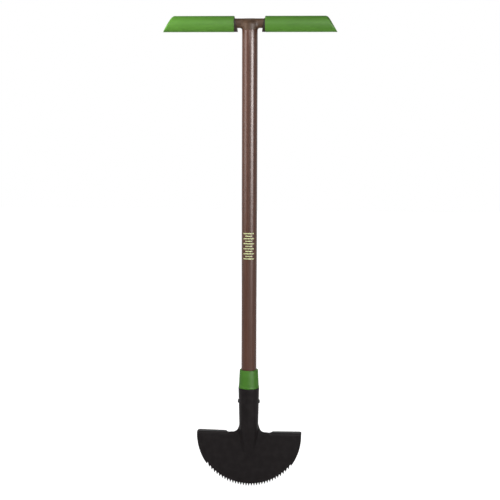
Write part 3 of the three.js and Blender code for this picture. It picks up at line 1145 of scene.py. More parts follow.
    def edge_levels(self) -> list[float]:
        """Where the socket grid's rows meet the sheet's free edge.

        Returns:
            The levels, from the fold up.
        """
        rows = self.flange_rows
        levels = [lerp(self.fold, self.shoulder, k / rows) for k in range(rows)]
        rows, flare_turn = self.fillet_rows, math.asin(self.flare_share)
        turns = [lerp(QUARTER, flare_turn, k / rows) for k in range(rows)]
        levels += [self.neck - self.fillet * math.sin(turn) for turn in turns]
        rows = self.flare_rows
        levels += [lerp(self.flare, self.seam_start, k / rows) for k in range(rows)]
        rows = self.socket_rows
        levels += [lerp(self.seam_start, self.mouth, k / rows) for k in range(rows + 1)]
        return levels

    def socket_places(self) -> list[list[Place]]:
        """Where the right half of the socket's grid goes, from the fold up.

        Returns:
            Rows of distance round and level.
        """
        start, bent = self.flange_rows, self.fillet_rows + self.flare_rows
        shares = [i / self.inner_columns for i in range(self.inner_columns + 1)]
        rows = []
        for k, edge_level in enumerate(self.edge_levels()):
            middle_level = edge_level
            if start < k < start + bent:
                middle_level = lerp(self.shoulder, self.seam_start, (k - start) / bent)
            edge = self.edge_distance(edge_level)
            rows.append([(edge * u, lerp(middle_level, edge_level, u**2)) for u in shares])
        return rows

    def lay(self, mesh: BMesh, places: list[list[Place]]) -> None:
        """Adds a grid to the mesh and lays both its halves on the sheet.

        Args:
            mesh: The mesh to add it to.
            places: Where its right half goes, as rows of distance round and level.
        """
        half = len(places[0]) - 1
        rows = len(places) - 1
        made = bmesh.ops.create_grid(mesh, x_segments=2 * half, y_segments=rows, size=1)
        for vert in made["verts"]:
            column = round(vert.co.x * half)
            row = round((vert.co.y + 1) / 2 * rows)
            distance, level = places[row][abs(column)]
            vert.co = self.trace(level, math.copysign(distance, column))

    def flange_length(self, x: float) -> float:
        """Length of the sheet above the fold, measured round it.

        Args:
            x: Distance from the tube's axis.

        Returns:
            The length, which grows from the shoulder's height to the tread's depth.
        """
        share = (x - self.tread_inner) / (self.tread_outer - self.tread_inner)
        depth = lerp(self.tread_depth[0], self.tread_depth[1], share) - self.sheet / 2
        missing = min(self.tread_corner, max(0.0, self.tread_corner - (self.tread_outer - x)))
        trimmed = self.tread_corner - math.sqrt(self.tread_corner**2 - missing**2)
        full = QUARTER * self.tread_bend + depth - self.tread_bend - trimmed
        grown = smoothstep(x - self.tread_inner, self.fold_run / 2, self.tread_run)
        return lerp(self.shoulder - self.fold, full, grown)

    def flange_point(self, foot: Vector, row: int) -> Vector:
        """A point of the tread's grid.

        Args:
            foot: Its column's foot, on the fold.
            row: Its row, from the foot.

        Returns:
            The point.
        """
        x = abs(foot.x)
        length = self.flange_length(x)
        arc = QUARTER * self.tread_bend
        bent = min(arc, length * self.bend_rows / self.flange_rows)
        if row <= self.bend_rows:
            along = bent * row / self.bend_rows
        else:
            past_bend = (row - self.bend_rows) / (self.flange_rows - self.bend_rows)
            along = lerp(bent, length, past_bend)
        closed = smoothstep(x - self.tread_inner, 0, self.fold_run)
        curve = max(TINY, closed) / self.tread_bend
        turn = curve * min(along, arc)
        past = max(0.0, along - arc)
        back = (1 - math.cos(turn)) / curve + past * math.sin(turn)
        up = math.sin(turn) / curve + past * math.cos(turn)
        return foot + Vector((0, back, up))

    def turn_treads(self, mesh: BMesh) -> None:
        """Turns both treads back from the top edge, with folds that start at the shoulder.

        Args:
            mesh: The sheet, with both its grids joined.
        """

        def on_fold(vert: BMVert) -> bool:
            """Whether the vertex is on the fold of a tread."""
            beyond = abs(vert.co.x) > self.tread_inner - NEAR
            return beyond and abs(vert.co.z - self.fold) < NEAR

        free = [edge for edge in mesh.edges if edge.is_boundary]
        edges = [edge for edge in free if all(map(on_fold, edge.verts))]
        columns = {vert.co.x: vert.co.copy() for edge in edges for vert in edge.verts}
        for row in range(1, self.flange_rows + 1):
            edges, verts = grow(mesh, edges)
            for vert in verts:
                vert.co = self.flange_point(columns[vert.co.x], row)
        inner, near = self.tread_inner, self.tread_seam
        seam = [vert for vert in mesh.verts if abs(abs(vert.co.x) - inner) < near]
        bmesh.ops.remove_doubles(mesh, verts=seam, dist=self.tread_weld)

    def build(self, coat: bpy.types.Material) -> None:
        """Builds the blade head.

        Args:
            coat: Its powder coat.
        """
        mesh = bmesh.new()
        self.lay(mesh, self.blade_places())
        self.lay(mesh, self.socket_places())
        bmesh.ops.remove_doubles(mesh, verts=mesh.verts[:], dist=self.weld)
        self.turn_treads(mesh)
        bmesh.ops.recalc_face_normals(mesh, faces=mesh.faces[:])
        weight = mesh.edges.layers.float.new("bevel_weight_edge")
        for edge in mesh.edges:
            if edge.is_boundary:
                middle = (edge.verts[0].co + edge.verts[1].co) / 2
                toothed = abs(middle.x) < self.toothed and middle.z < self.fold
                edge[weight] = self.tooth_edge_share if toothed else 1.0
        piece = Piece("blade_head_pressing", "blade_head", "black_powder_coat")
        finishers = (thicken(self.sheet), ease(self.edge, self.edge_facets))
        piece.publish(mesh, coat, Shading.SHEET, finishers)


# The handle


@dataclass
class Tube:
    """The painted tube, a thin wall with eased ends.

    Attributes:
        radius: Its outer radius.
        wall: Thickness of its wall.
        foot: Level of its foot.
        top: Level of its top.
        edge: Rounding of its outer edges.
        facets: Facets round it.
        lengths: How many lengths its skin is cut into.
    """

    radius: float = 16 * MM
    wall: float = 1.2 * MM
    foot: float = 150.3 * MM
    top: float = 962 * MM
    edge: float = 0.4 * MM
    facets: int = 128
    lengths: int = 16

    @property
    def bore(self) -> float:
        """Its inner radius."""
        return self.radius - self.wall

    def build(self, paint: bpy.types.Material) -> None:
        """Builds the tube.

        Args:
            paint: Its paint.
        """
        corners = [
            Corner(self.bore, self.foot),
            Corner(self.radius, self.foot, self.edge),
            Corner(self.radius, self.top, self.edge),
            Corner(self.bore, self.top),
        ]
        mesh = turned(corners, self.facets)
        for k in range(1, self.lengths):
            level = lerp(self.foot, self.top, k / self.lengths)
            bmesh.ops.bisect_plane(
                mesh, geom=everything(mesh), plane_co=(0, 0, level), plane_no=(0, 0, 1)
            )
        Piece("handle_tube_painted", "handle_tube", "brown_tube_paint").publish(mesh, paint)


@dataclass
class Collar:
    """The collar, with a bead over the socket's mouth and a sleeve inside the socket.

    Attributes:
        sleeve_foot: Level of the sleeve's foot.
        top: Level of the collar's top.
        inset: The bead's skin inside the socket's outer face.
        top_wall: Thickness of its wall at the top.
        bead_height: Height of the bead.
        bead_step: Drop from the bead to the taper above it, both across and up.
        sleeve_round: Rounding of the sleeve's foot.
        bead_foot_round: Rounding of the bead's foot.
        bead_top_round: Rounding of the bead's top.
        step_round: Rounding of the drop's inner corner.
        top_round: Rounding of the collar's top.
        bore_round: Rounding of its bore at the top.
        facets: Facets round it.
        round_facets: Facets across each rounding.
    """

    sleeve_foot: float = 156.3 * MM
    top: float = 256.1 * MM
    inset: float = 0.2 * MM
    top_wall: float = 3.2 * MM
    bead_height: float = 3.2 * MM
    bead_step: float = 0.7 * MM
    sleeve_round: float = 0.6 * MM
    bead_foot_round: float = 1.1 * MM
    bead_top_round: float = 0.9 * MM
    step_round: float = 0.5 * MM
    top_round: float = 1.3 * MM
    bore_round: float = 0.2 * MM
    facets: int = 112
    round_facets: int = 4

    def build(self, tube: Tube, head: BladeHead, plastic: bpy.types.Material) -> None:
        """Builds the collar and its sleeve.

        Args:
            tube: The tube that it is pushed onto.
            head: The blade head that the sleeve sits in.
            plastic: The collar's plastic.
        """
        bore = tube.radius + FIT
        seat = head.mouth + FIT
        inside = head.sheet + FIT
        rim = head.mouth_radius - self.inset
        bead_top = seat + self.bead_height
        step = self.bead_step
        sleeve_radius = head.socket_radius(self.sleeve_foot) - inside
        corners = [
            Corner(bore, self.sleeve_foot),
            Corner(sleeve_radius, self.sleeve_foot, self.sleeve_round),
            Corner(head.socket_radius(seat) - inside, seat),
            Corner(rim, seat, self.bead_foot_round),
            Corner(rim, bead_top - step, self.bead_top_round),
            Corner(rim - step, bead_top + step, self.step_round),
            Corner(bore + self.top_wall, self.top, self.top_round),
            Corner(bore, self.top, self.bore_round),
        ]
        piece = Piece("ferrule_collar_moulded", "ferrule_collar", "green_collar")
        piece.publish(turned(corners, self.facets, self.round_facets), plastic)


@dataclass
class Rivet:
    """The rivet straight through the socket, with a domed head at each end.

    Attributes:
        level: Level of its axis.
        shank: Radius of its shank.
        reach: Radius of its heads.
        height: Height of its heads.
        skirt: Straight part of that height.
        sink: How far its heads bed into the socket's skin.
        facets: Facets round it.
    """

    level: float = 187.3 * MM
    shank: float = 3 * MM
    reach: float = 4.25 * MM
    height: float = 2.5 * MM
    skirt: float = 0.5 * MM
    sink: float = 0.1 * MM
    facets: int = 40

    def build(self, head: BladeHead, coat: bpy.types.Material) -> None:
        """Builds the rivet.

        Args:
            head: The blade head that it goes through.
            coat: The rivet's coat.
        """
        seat = head.socket_radius(self.level) - self.sink
        crown = dome(self.reach, self.height - self.skirt, seat + self.skirt)
        upper = [Corner(self.shank, seat), Corner(self.reach, seat), *crown]
        lower = [Corner(corner.radius, -corner.height) for corner in reversed(upper)]
        mesh = turned([*lower, *upper], self.facets)
        turn = Matrix.Translation((0, 0, self.level)) @ Matrix.Rotation(QUARTER, 4, "Y")
        bmesh.ops.transform(mesh, matrix=turn, verts=mesh.verts[:])
        Piece("socket_rivet_domed", "socket_rivet", "black_rivet").publish(mesh, coat)


@dataclass
class FootPlug:
    """The plug in the tube's foot, with a flange, a sunk face and gripping rings.

    Attributes:
        length: Its length inside the tube.
        flange_height: Height of the flange below the tube.
        flange_inset: The flange's edge inside the tube's outer face.
        sink: Depth of the sunk face.
        sink_radius: Radius of the sunk face.
        sink_slope: Width of the slope round it.
        button: Radius of the button in its middle.
        button_height: Height of the button.
        rings: Number of gripping rings.
        ring_start: Tube's foot to the first ring.
        ring_pitch: Ring to ring.
        ring_depth: How far a ring stands out.
        ring_slope: Height of the slope below and above a ring.
        ring_flat: Height of a ring's top.
        button_round: Rounding of the button's edge and foot.
        sink_round: Rounding of the sunk face's edge and of its slope's.
        flange_rounds: Rounding of the flange's lower edge and of its upper one.
        end_round: Rounding of the plug's end inside the tube.
        facets: Facets round it.
    """

    length: float = 62 * MM
    flange_height: float = 2.4 * MM
    flange_inset: float = 0.6 * MM
    sink: float = 1.6 * MM
    sink_radius: float = 11 * MM
    sink_slope: float = 0.8 * MM
    button: float = 2.2 * MM
    button_height: float = 0.6 * MM
    rings: int = 6
    ring_start: float = 6 * MM
    ring_pitch: float = 9 * MM
    ring_depth: float = 0.5 * MM
    ring_slope: float = 0.8 * MM
    ring_flat: float = 2 * MM
    button_round: float = 0.3 * MM
    sink_round: float = 0.5 * MM
    flange_rounds: tuple[float, float] = (0.7 * MM, 0.4 * MM)
    end_round: float = 0.6 * MM
    facets: int = 64

    def build(self, tube: Tube, plastic: bpy.types.Material) -> None:
        """Builds the plug.

        Args:
            tube: The tube that it sits in.
            plastic: The plug's plastic.
        """
        top = tube.foot - FIT
        face = top - self.flange_height
        floor = face + self.sink
        flange = tube.radius - self.flange_inset
        body = tube.bore - FIT
        low = body - self.ring_depth
        end = tube.foot + self.length
        corners = [
            Corner(0, floor - self.button_height),
            Corner(self.button, floor - self.button_height, self.button_round),
            Corner(self.button, floor, self.button_round),
            Corner(self.sink_radius, floor, self.sink_round),
            Corner(self.sink_radius + self.sink_slope, face, self.sink_round),
            Corner(flange, face, self.flange_rounds[0]),
            Corner(flange, top, self.flange_rounds[1]),
            Corner(low, top),
        ]
        for k in range(self.rings):
            level = tube.foot + self.ring_start + self.ring_pitch * k
            flat = level + self.ring_slope
            corners += [
                Corner(low, level),
                Corner(body, flat),
                Corner(body, flat + self.ring_flat),
                Corner(low, flat + self.ring_flat + self.ring_slope),
            ]
        corners += [Corner(low, end, self.end_round), Corner(0, end)]
        piece = Piece("tube_foot_plug_moulded", "tube_foot_plug", "dark_plug")
        piece.publish(turned(corners, self.facets), plastic)


@dataclass
class Film:
    """The printed film, bent round the front of the tube.

    Attributes:
        foot: Level of its foot.
        height: Its height.
        width: Its width round the tube.
        lift: Its inner face above the tube's skin.
        thickness: Its thickness.
        cells: Cells of its grid, round the tube and up.
    """

    foot: float = 490.8 * MM
    height: float = 58 * MM
    width: float = 26 * MM
    lift: float = 0.04 * MM
    thickness: float = 0.07 * MM
    cells: tuple[int, int] = (24, 12)

    def build(self, tube: Tube, ink: bpy.types.Material) -> None:
        """Builds the film.

        Args:
            tube: The tube that it lies on.
            ink: The print.
        """
        mesh = bmesh.new()
        mesh.loops.layers.uv.new("UVMap")
        across, up = self.cells
        bmesh.ops.create_grid(mesh, x_segments=across, y_segments=up, size=0.5, calc_uvs=True)
        inner = tube.radius + self.lift
        half_turn = self.width / 2 / tube.radius
        for vert in mesh.verts:
            turn = 2 * vert.co.x * half_turn
            level = self.foot + (vert.co.y + 0.5) * self.height
            vert.co = Vector((inner * math.sin(turn), -inner * math.cos(turn), level))
        bmesh.ops.recalc_face_normals(mesh, faces=mesh.faces[:])
        if mesh.faces[:][0].normal.y > 0:
            bmesh.ops.reverse_faces(mesh, faces=mesh.faces[:])
        piece = Piece("handle_print_film", "handle_label", "cream_print")
        piece.publish(mesh, ink, finishers=(thicken(self.thickness, offset=1, even=False),))


# The cross handle


@dataclass
class Screw:
    """The screw at the back of the hub, with a domed head and a crossed recess.

    Attributes:
        level: Level of its axis.
        shank: Radius of its shank.
        length: Its length under the head.
        point: Length of its point.
        reach: Radius of its head.
        height: Height of its head.
        skirt: Straight part of that height.
        edge: Rounding of the head's lower edge.
        recess_span: Length of each bar of the recess.
        recess_width: Width of each bar.
        recess_depth: Depth of the recess below the head's crown.
        tool_rise: How far the tool that cuts it stands over the crown.
        facets: Facets round it.
        dome_facets: Facets from its head's rim to the crown.
    """

    level: float = 940 * MM
    shank: float = 2.1 * MM
    length: float = 13 * MM
    point: float = 2 * MM
    reach: float = 4.2 * MM
    height: float = 2.4 * MM
    skirt: float = 0.7 * MM
    edge: float = 0.15 * MM
    recess_span: float = 4.6 * MM
    recess_width: float = 1 * MM
    recess_depth: float = 1.4 * MM
    tool_rise: float = 1.6 * MM
    facets: int = 48
    dome_facets: int = 9

    def recess_tool(self, crown: float, turn: Matrix) -> bpy.types.Object:
        """Makes the two crossed bars that cut the recess.

        Args:
            crown: Height of the head's crown, before the screw is turned into place.
            turn: What turns the screw into place.

        Returns:
            The tool, which isn't in the scene.
        """
        mesh = bmesh.new()
        tall = self.recess_depth + self.tool_rise
        spans = (self.recess_span, self.recess_width)
        for across, up in (spans, spans[::-1]):
            bar = Matrix.Diagonal((across, up, tall, 1))
            bar.translation = (0, 0, crown + tall / 2 - self.recess_depth)
            bmesh.ops.create_cube(mesh, size=1, matrix=turn @ bar)
        data = bpy.data.meshes.new("screw_recess")
        mesh.to_mesh(data)
        mesh.free()
        return bpy.data.objects.new("screw_recess", data)

    def build(self, tube: Tube, steel: bpy.types.Material) -> None:
        """Builds the screw.

        Args:
            tube: The tube that it holds the cross bar's plug in.
            steel: The screw's plated steel.
        """
        seat = tube.radius + FIT / 2
        tip = seat - self.length
        skirt = seat + self.skirt
        corners = [
            Corner(0, tip),
            Corner(self.shank, tip + self.point),
            Corner(self.shank, seat),
            Corner(self.reach, seat, self.edge),
            *dome(self.reach, self.height - self.skirt, skirt, self.dome_facets),
        ]
        mesh = turned(corners, self.facets)
        turn = Matrix.Translation((0, 0, self.level)) @ Matrix.Rotation(-QUARTER, 4, "X")
        bmesh.ops.transform(mesh, matrix=turn, verts=mesh.verts[:])
        tool = self.recess_tool(seat + self.height, turn)

        def cut(made: bpy.types.Object) -> None:
            """Cuts the recess.

            Args:
                made: The screw.
            """
            recess = made.modifiers.new("recess", "BOOLEAN")
            recess.object = tool
            recess.solver = "EXACT"
            recess.use_self = True

        piece = Piece("tee_screw_crossed", "tee_screw", "zinc_screw")
        piece.publish(mesh, steel, finishers=(cut,))
        bpy.data.objects.remove(tool)


@dataclass
class CrossHandle:
    """The moulded cross bar with its hub and cuffs, and the two grips.

    Attributes:
        tube: The tube that it stands on.
        middle: Level of the middle of the arms.
        arm_size: An arm's depth and height.
        arm_power: How full an arm's oval section is, 2 for an ellipse.
        arm_reach: Tube's axis to the end of an arm.
        core_reaches: Tube's axis to where an arm is plain, and to where its skin is settled.
        hub_crown: Rounding of the hub's top edge.
        hub_sink: Top of the arms to the hub's own top, before it runs into them.
        blend: How softly the hub runs into the arms.
        settle_step: Step in which the slope of the core's skin is measured.
        settle_near: Distance from the skin at which a point is settled.
        settle_slope: Slope below which a point is left where it is.
        settle_tries: Most steps that a point takes to the skin.
        core_levels: How often the core's block is subdivided.
        plug_length: Length of the plug in the tube.
        plug_chamfer: Chamfer of its lower end.
        grip_middle: Level of the middle of the grips.
        grip_size: A grip's depth and height.
        grip_powers: How full a grip's section is, at its top and bottom and at its front.
        span: Over the outer ends of both grips.
        end_slant: Lower outer corner beyond the upper one.
        end_round: Rounding of the outer end.
        mouth_round: Rounding of the inner end.
        mouth_ease: How far its bore opens at the inner end.
        mouth_run: Length over which it opens.
        cap_inset: Width of the strip round the end's flat.
        facets: Facets round a grip.
        rounds: Facets across the rounding of the inner end, half those of the outer.
        cuff_inner: Tube's axis to the lower end of a cuff's slanted face.
        cuff_slant: That face's upper end beyond its lower one.
        cuff_back: Tube's axis to the back of a cuff, which its grip butts against.
        cuff_drop: How far a cuff's skin lies below its grip's.
    """

    tube: Tube
    middle: float = 975.2 * MM
    arm_size: tuple[float, float] = (17 * MM, 19.4 * MM)
    arm_power: float = 2.6
    arm_reach: float = 148 * MM
    core_reaches: tuple[float, float] = (24 * MM, 40 * MM)
    hub_crown: float = 10 * MM
    hub_sink: float = 3 * MM
    blend: float = 7 * MM
    settle_step: float = 0.02 * MM
    settle_near: float = 0.0001 * MM
    settle_slope: float = 0.001
    settle_tries: int = 12
    core_levels: int = 5
    plug_length: float = 50 * MM
    plug_chamfer: float = 2 * MM
    grip_middle: float = 973.7 * MM
    grip_size: tuple[float, float] = (28 * MM, 32.6 * MM)
    grip_powers: tuple[float, float] = (2.8, 1.7)
    span: float = 356 * MM
    end_slant: float = 19.5 * MM
    end_round: float = 5 * MM
    mouth_round: float = 1.5 * MM
    mouth_ease: float = 0.6 * MM
    mouth_run: float = 2 * MM
    cap_inset: float = 0.6 * MM
    facets: int = 96
    rounds: int = 6
    cuff_inner: float = 25 * MM
    cuff_slant: float = 6 * MM
    cuff_back: float = 31.2 * MM
    cuff_drop: float = 0.5 * MM

    @property
    def core_foot(self) -> float:
        """Level of the hub's foot, measured from the middle of the arms."""
        return self.tube.top + FIT - self.middle

    def core_field(self, point: Vector) -> float:
        """How far a point is outside the hub and arms, roughly, and negative inside.

        Args:
            point: The point, measured from the middle of the arms.

        Returns:
            The distance.
        """
        half_depth, half_height = self.arm_size[0] / 2, self.arm_size[1] / 2
        across = abs(point.y / half_depth) ** self.arm_power
        along = abs(point.z / half_height) ** self.arm_power
        full = (across + along) ** (1 / self.arm_power)
        arm = (full - 1) * min(half_depth, half_height)
        top = half_height - self.hub_sink
        over = point.z - top + self.hub_crown
        out = math.hypot(point.x, point.y) - self.tube.radius + self.hub_crown
        outside = math.hypot(max(out, 0.0), max(over, 0.0))
        hub = outside + min(max(out, over), 0.0) - self.hub_crown
        overlap = max(self.blend - abs(arm - hub), 0.0) / self.blend
        return min(arm, hub) - overlap**3 * self.blend / 6  # a cubic smooth minimum

    def settle(self, point: Vector) -> Vector:
        """Moves a point onto the skin of the hub and arms.

        Args:
            point: The point, measured from the middle of the arms.

        Returns:
            The point on the skin.
        """
        step = self.settle_step
        steps = [Vector(axis) * step for axis in ((1, 0, 0), (0, 1, 0), (0, 0, 1))]
        for _ in range(self.settle_tries):
            away = self.core_field(point)
            if abs(away) < self.settle_near:
                break
            slope = Vector([self.core_field(point + aside) - away for aside in steps]) / step
            if slope.length < self.settle_slope:
                break
            point = point - slope * (away / slope.length_squared)
        return point

    def settle_core(self, mesh: BMesh) -> None:
        """Moves the core's vertices onto its skin and its foot onto the tube's circle.

        Args:
            mesh: The core, measured from the middle of its arms.
        """
        for vert in mesh.verts:
            reach = vert.co.x
            if vert.is_boundary and abs(vert.co.z - self.core_foot) < NEAR:
                scale = self.tube.radius / math.hypot(vert.co.x, vert.co.y)
                vert.co.x *= scale
                vert.co.y *= scale
            else:
                vert.co = self.settle(vert.co)
                if vert.is_boundary:
                    vert.co.x = reach

    def core_block(self) -> BMesh:
        """Makes the hub's block with its sides drawn out for the arms.

        Returns:
            Its mesh, open at its foot and at both arms, measured from their middle.
        """
        mesh = bmesh.new()
        half_depth, half_height = self.arm_size[0] / 2, self.arm_size[1] / 2
        width = 2 * self.tube.radius
        block = Matrix.Diagonal((width, width, half_height - self.core_foot, 1))
        block.translation = (0, 0, (half_height + self.core_foot) / 2)
        bmesh.ops.create_cube(mesh, size=1, matrix=block)
        ends = [face for face in mesh.faces if face.normal.z < -FACING]
        for face in [face for face in mesh.faces if abs(face.normal.x) > FACING]:
            side = math.copysign(1, face.normal.x)
            for reach in self.core_reaches:
                face = bmesh.ops.extrude_discrete_faces(mesh, faces=[face])["faces"][0]
                for vert in face.verts:
                    vert.co.x = side * reach
                    vert.co.y = math.copysign(half_depth, vert.co.y)
                    if vert.co.z < 0:
                        vert.co.z = -half_height
            ends.append(face)
        bmesh.ops.delete(mesh, geom=ends, context="FACES_ONLY")
        return mesh

    def build_core(self, plastic: bpy.types.Material) -> None:
        """Builds the hub and its arms from a block that is subdivided onto their skin.

        Args:
            plastic: The core's plastic.
        """
        mesh = self.core_block()
        for _ in range(self.core_levels):
            bmesh.ops.subdivide_edges(mesh, edges=mesh.edges[:], cuts=1, use_grid_fill=True)
            self.settle_core(mesh)
            inner = [vert for vert in mesh.verts if not vert.is_boundary]
            bmesh.ops.smooth_vert(
                mesh, verts=inner, factor=0.5, use_axis_x=True, use_axis_y=True, use_axis_z=True
            )
            self.settle_core(mesh)
        self.close_core(mesh)
        bmesh.ops.translate(mesh, vec=(0, 0, self.middle), verts=mesh.verts[:])
        Piece("tee_core_moulded", "tee_core", "brown_moulding").publish(mesh, plastic)

    def close_core(self, mesh: BMesh) -> None:
        """Draws the arms out to their ends and the hub's foot into the tube, and closes them.

        Args:
            mesh: The core, open at its foot and at both arms.
        """
        free = [edge for edge in mesh.edges if edge.is_boundary]
        arms = [edge for edge in free if abs(edge.verts[0].co.x) > self.core_reaches[0]]
        ring = [edge for edge in free if edge not in arms]
        plug, foot, chamfer = self.tube.bore - FIT, self.core_foot, self.plug_chamfer
        end = foot - self.plug_length
        for radius, level in ((plug, foot), (plug, end + chamfer), (plug - chamfer, end)):
            ring, verts = grow(mesh, ring)
            for vert in verts:
                scale = radius / math.hypot(vert.co.x, vert.co.y)
                vert.co = Vector((vert.co.x * scale, vert.co.y * scale, level))
        for vert in grow(mesh, arms)[1]:
            vert.co.x = math.copysign(self.arm_reach, vert.co.x)
        fill_ends(mesh)

    def grip_ring(
        self,
        verts: Iterable[BMVert],
        turn: Any,
        along: Along,
        drawn: float,
        anchor: float = 0.0,
    ) -> None:
        """Lays a ring of the right grip's or cuff's skin.

        Args:
            verts: The ring's vertices.
            turn: The layer that holds each vertex's angle round the section.
            along: The place along X for a share of the grip's height.
            drawn: How far the ring is drawn in by a rounding.
            anchor: 1 where the lower edge stays, 0 where both draw in alike.
        """
        depth, height = self.grip_size
        top_power, front_power = self.grip_powers
        for vert in verts:
            angle = vert[turn]
            y = (depth / 2 - drawn) * signed_power(math.cos(angle), 2 / top_power)
            z = (height - drawn) / 2 * signed_power(math.sin(angle), 2 / front_power)
            z -= anchor * drawn / 2
            vert.co = Vector((along(z / height + 0.5), y, self.grip_middle + z))

    def arm_ring(self, verts: Iterable[BMVert], turn: Any, along: Along, extra: float) -> None:
        """Lays a ring round the arm, inside the right grip or cuff.

        Args:
            verts: The ring's vertices.
            turn: The layer that holds each vertex's angle round the section.
            along: The place along X for a share of the grip's height.
            extra: How far outside the arm it runs.
        """
        half_depth, half_height = (size / 2 + extra for size in self.arm_size)
        for vert in verts:
            angle = vert[turn]
            y = half_depth * signed_power(math.cos(angle), 2 / self.arm_power)
            z = half_height * signed_power(math.sin(angle), 2 / self.arm_power)
            level = self.middle + z
            rise = (level - self.grip_middle) / self.grip_size[1] + 0.5
            vert.co = Vector((along(rise), y, level))

    def start_ring(self, mesh: BMesh) -> tuple[Any, list[BMEdge]]:
        """Starts a skin with a circle whose vertices remember their angle.

        Args:
            mesh: The empty mesh to add it to.

        Returns:
            The layer that holds the angles, and the circle's edges.
        """
        turn = mesh.verts.layers.float.new("turn")
        ring = bmesh.ops.create_circle(mesh, segments=self.facets, radius=1)["verts"]
        for vert in ring:
            vert[turn] = math.atan2(vert.co.y, vert.co.x)
        return turn, mesh.edges[:]

    @staticmethod
    def build_pair(
        mesh: BMesh,
        material: bpy.types.Material,
        right: Piece,
        left: Piece,
    ) -> None:
        """Publishes a right piece and its mirror image.

        Args:
            mesh: The right piece's mesh, still open at its ends.
            material: The finish of both.
            right: The right piece.
            left: The left piece.
        """
        fill_ends(mesh)
        mirrored = mesh.copy()
        bmesh.ops.scale(mirrored, vec=(-1, 1, 1), verts=mirrored.verts[:])
        bmesh.ops.recalc_face_normals(mirrored, faces=mirrored.faces[:])
        right.publish(mesh, material)
        left.publish(mirrored, material)

    def build_cuffs(self, plastic: bpy.types.Material) -> None:
        """Builds the cuffs that the grips butt against, wedges that thin out upwards, in a
        darker brown that paints the shade at the grips' inner ends.

        Args:
            plastic: The cuffs' plastic, a darker copy of the core's brown that stands for
                painted shade.
        """

        def face(rise: float) -> float:
            """Place of the slanted face at a share of the grip's height."""
            return self.cuff_inner + self.cuff_slant * rise

        back = straight(self.cuff_back)
        mesh = bmesh.new()
        turn, first = self.start_ring(mesh)
        self.grip_ring(mesh.verts[:], turn, face, self.cuff_drop)
        edges, verts = grow(mesh, first)
        self.grip_ring(verts, turn, back, self.cuff_drop)
        edges, verts = grow(mesh, edges)
        self.arm_ring(verts, turn, back, FIT / 2)
        edges, verts = grow(mesh, edges)
        self.arm_ring(verts, turn, face, FIT / 2)
        bmesh.ops.bridge_loops(mesh, edges=first + edges)
        bmesh.ops.bisect_plane(
            mesh,
            geom=everything(mesh),
            plane_co=(0, 0, self.middle + self.arm_size[1] / 2 + FIT),
            plane_no=(0, 0, 1),
            clear_outer=True,
        )
        right = Piece("tee_cuff_right", "tee_core", "brown_moulding")
        left = Piece("tee_cuff_left", "tee_core", "brown_moulding")
        self.build_pair(mesh, plastic, right, left)

    def build_grips(self, rubber: bpy.types.Material) -> None:
        """Builds the two grips, the left one as the mirror image of the right one.

        Args:
            rubber: The grips' rubber.
        """
        mouth = self.cuff_back + FIT
        mesh = bmesh.new()
        turn, inward = self.start_ring(mesh)
        edges = list(inward)
        self.grip_ring(mesh.verts[:], turn, straight(mouth), self.mouth_round)
        for k in range(1, self.rounds + 1):
            angle = QUARTER * k / self.rounds
            drawn = self.mouth_round * (1 - math.sin(angle))
            past = self.mouth_round * (1 - math.cos(angle))
            edges, verts = grow(mesh, edges)
            self.grip_ring(verts, turn, straight(mouth + past), drawn)

        def outer_end(rise: float) -> float:
            """Place of the outer end at a share of the grip's height, short of its rounding."""
            return self.span / 2 - self.end_slant * rise - short

        for k in range(2 * self.rounds + 1):
            angle = QUARTER * k / (2 * self.rounds)
            drawn = self.end_round * (1 - math.cos(angle))
            short = self.end_round * (1 - math.sin(angle))
            edges, verts = grow(mesh, edges)
            self.grip_ring(verts, turn, outer_end, drawn, anchor=1)
        cap = bmesh.ops.holes_fill(mesh, edges=edges)["faces"]
        bmesh.ops.inset_individual(mesh, faces=cap, thickness=self.cap_inset)
        for place, extra in (
            (mouth, FIT + self.mouth_ease),
            (mouth + self.mouth_run, FIT),
            (self.arm_reach + FIT, FIT),
        ):
            inward, verts = grow(mesh, inward)
            self.arm_ring(verts, turn, straight(place), extra)
        right = Piece("grip_right_moulded", "grip_right", "green_grip")
        left = Piece("grip_left_moulded", "grip_left", "green_grip")
        self.build_pair(mesh, rubber, right, left)


# The studio


class Shows(Enum):
    """Where a light shows: in reflections alone or on lit surfaces alone."""

    REFLECTED = "reflected"
    PLAIN = "plain"


@dataclass(frozen=True)
class SoftBox:
    """A rectangular soft light that points at a place on the object.

    Attributes:
        name: The light's name.
        azimuth: Where it stands round the object, 0 in front and positive to the right.
        distance: Its distance from the tube's axis.
        level: Its own level.
        aim: The level that it points at.
        width: Its width.
        height: Its height.
        power: Its power in watts.
        shows: Where it shows.
    """

    name: str
    azimuth: float
    distance: float
    level: float
    aim: float
    width: float
    height: float
    power: float
    shows: Shows

    def place(self) -> None:
        """Adds the light to the scene."""
        data = bpy.data.lights.new(self.name, "AREA")
        data.shape = "RECTANGLE"
        data.size = self.width
        data.size_y = self.height
        data.energy = self.power
        made = bpy.data.objects.new(self.name, data)
        made.visible_diffuse = self.shows is Shows.PLAIN
        made.visible_glossy = self.shows is Shows.REFLECTED
        made.location = round_tube(self.azimuth, self.distance, self.level)
        towards = Vector((0, 0, self.aim)) - made.location
        made.rotation_euler = towards.to_track_quat("-Z", "Y").to_euler()
        bpy.context.scene.collection.objects.link(made)


def round_tube(azimuth: float, distance: float, level: float) -> Vector:
    """A place round the tube's axis, at an azimuth in degrees from the front."""
    turn = math.radians(azimuth)
    return Vector((distance * math.sin(turn), -distance * math.cos(turn), level))


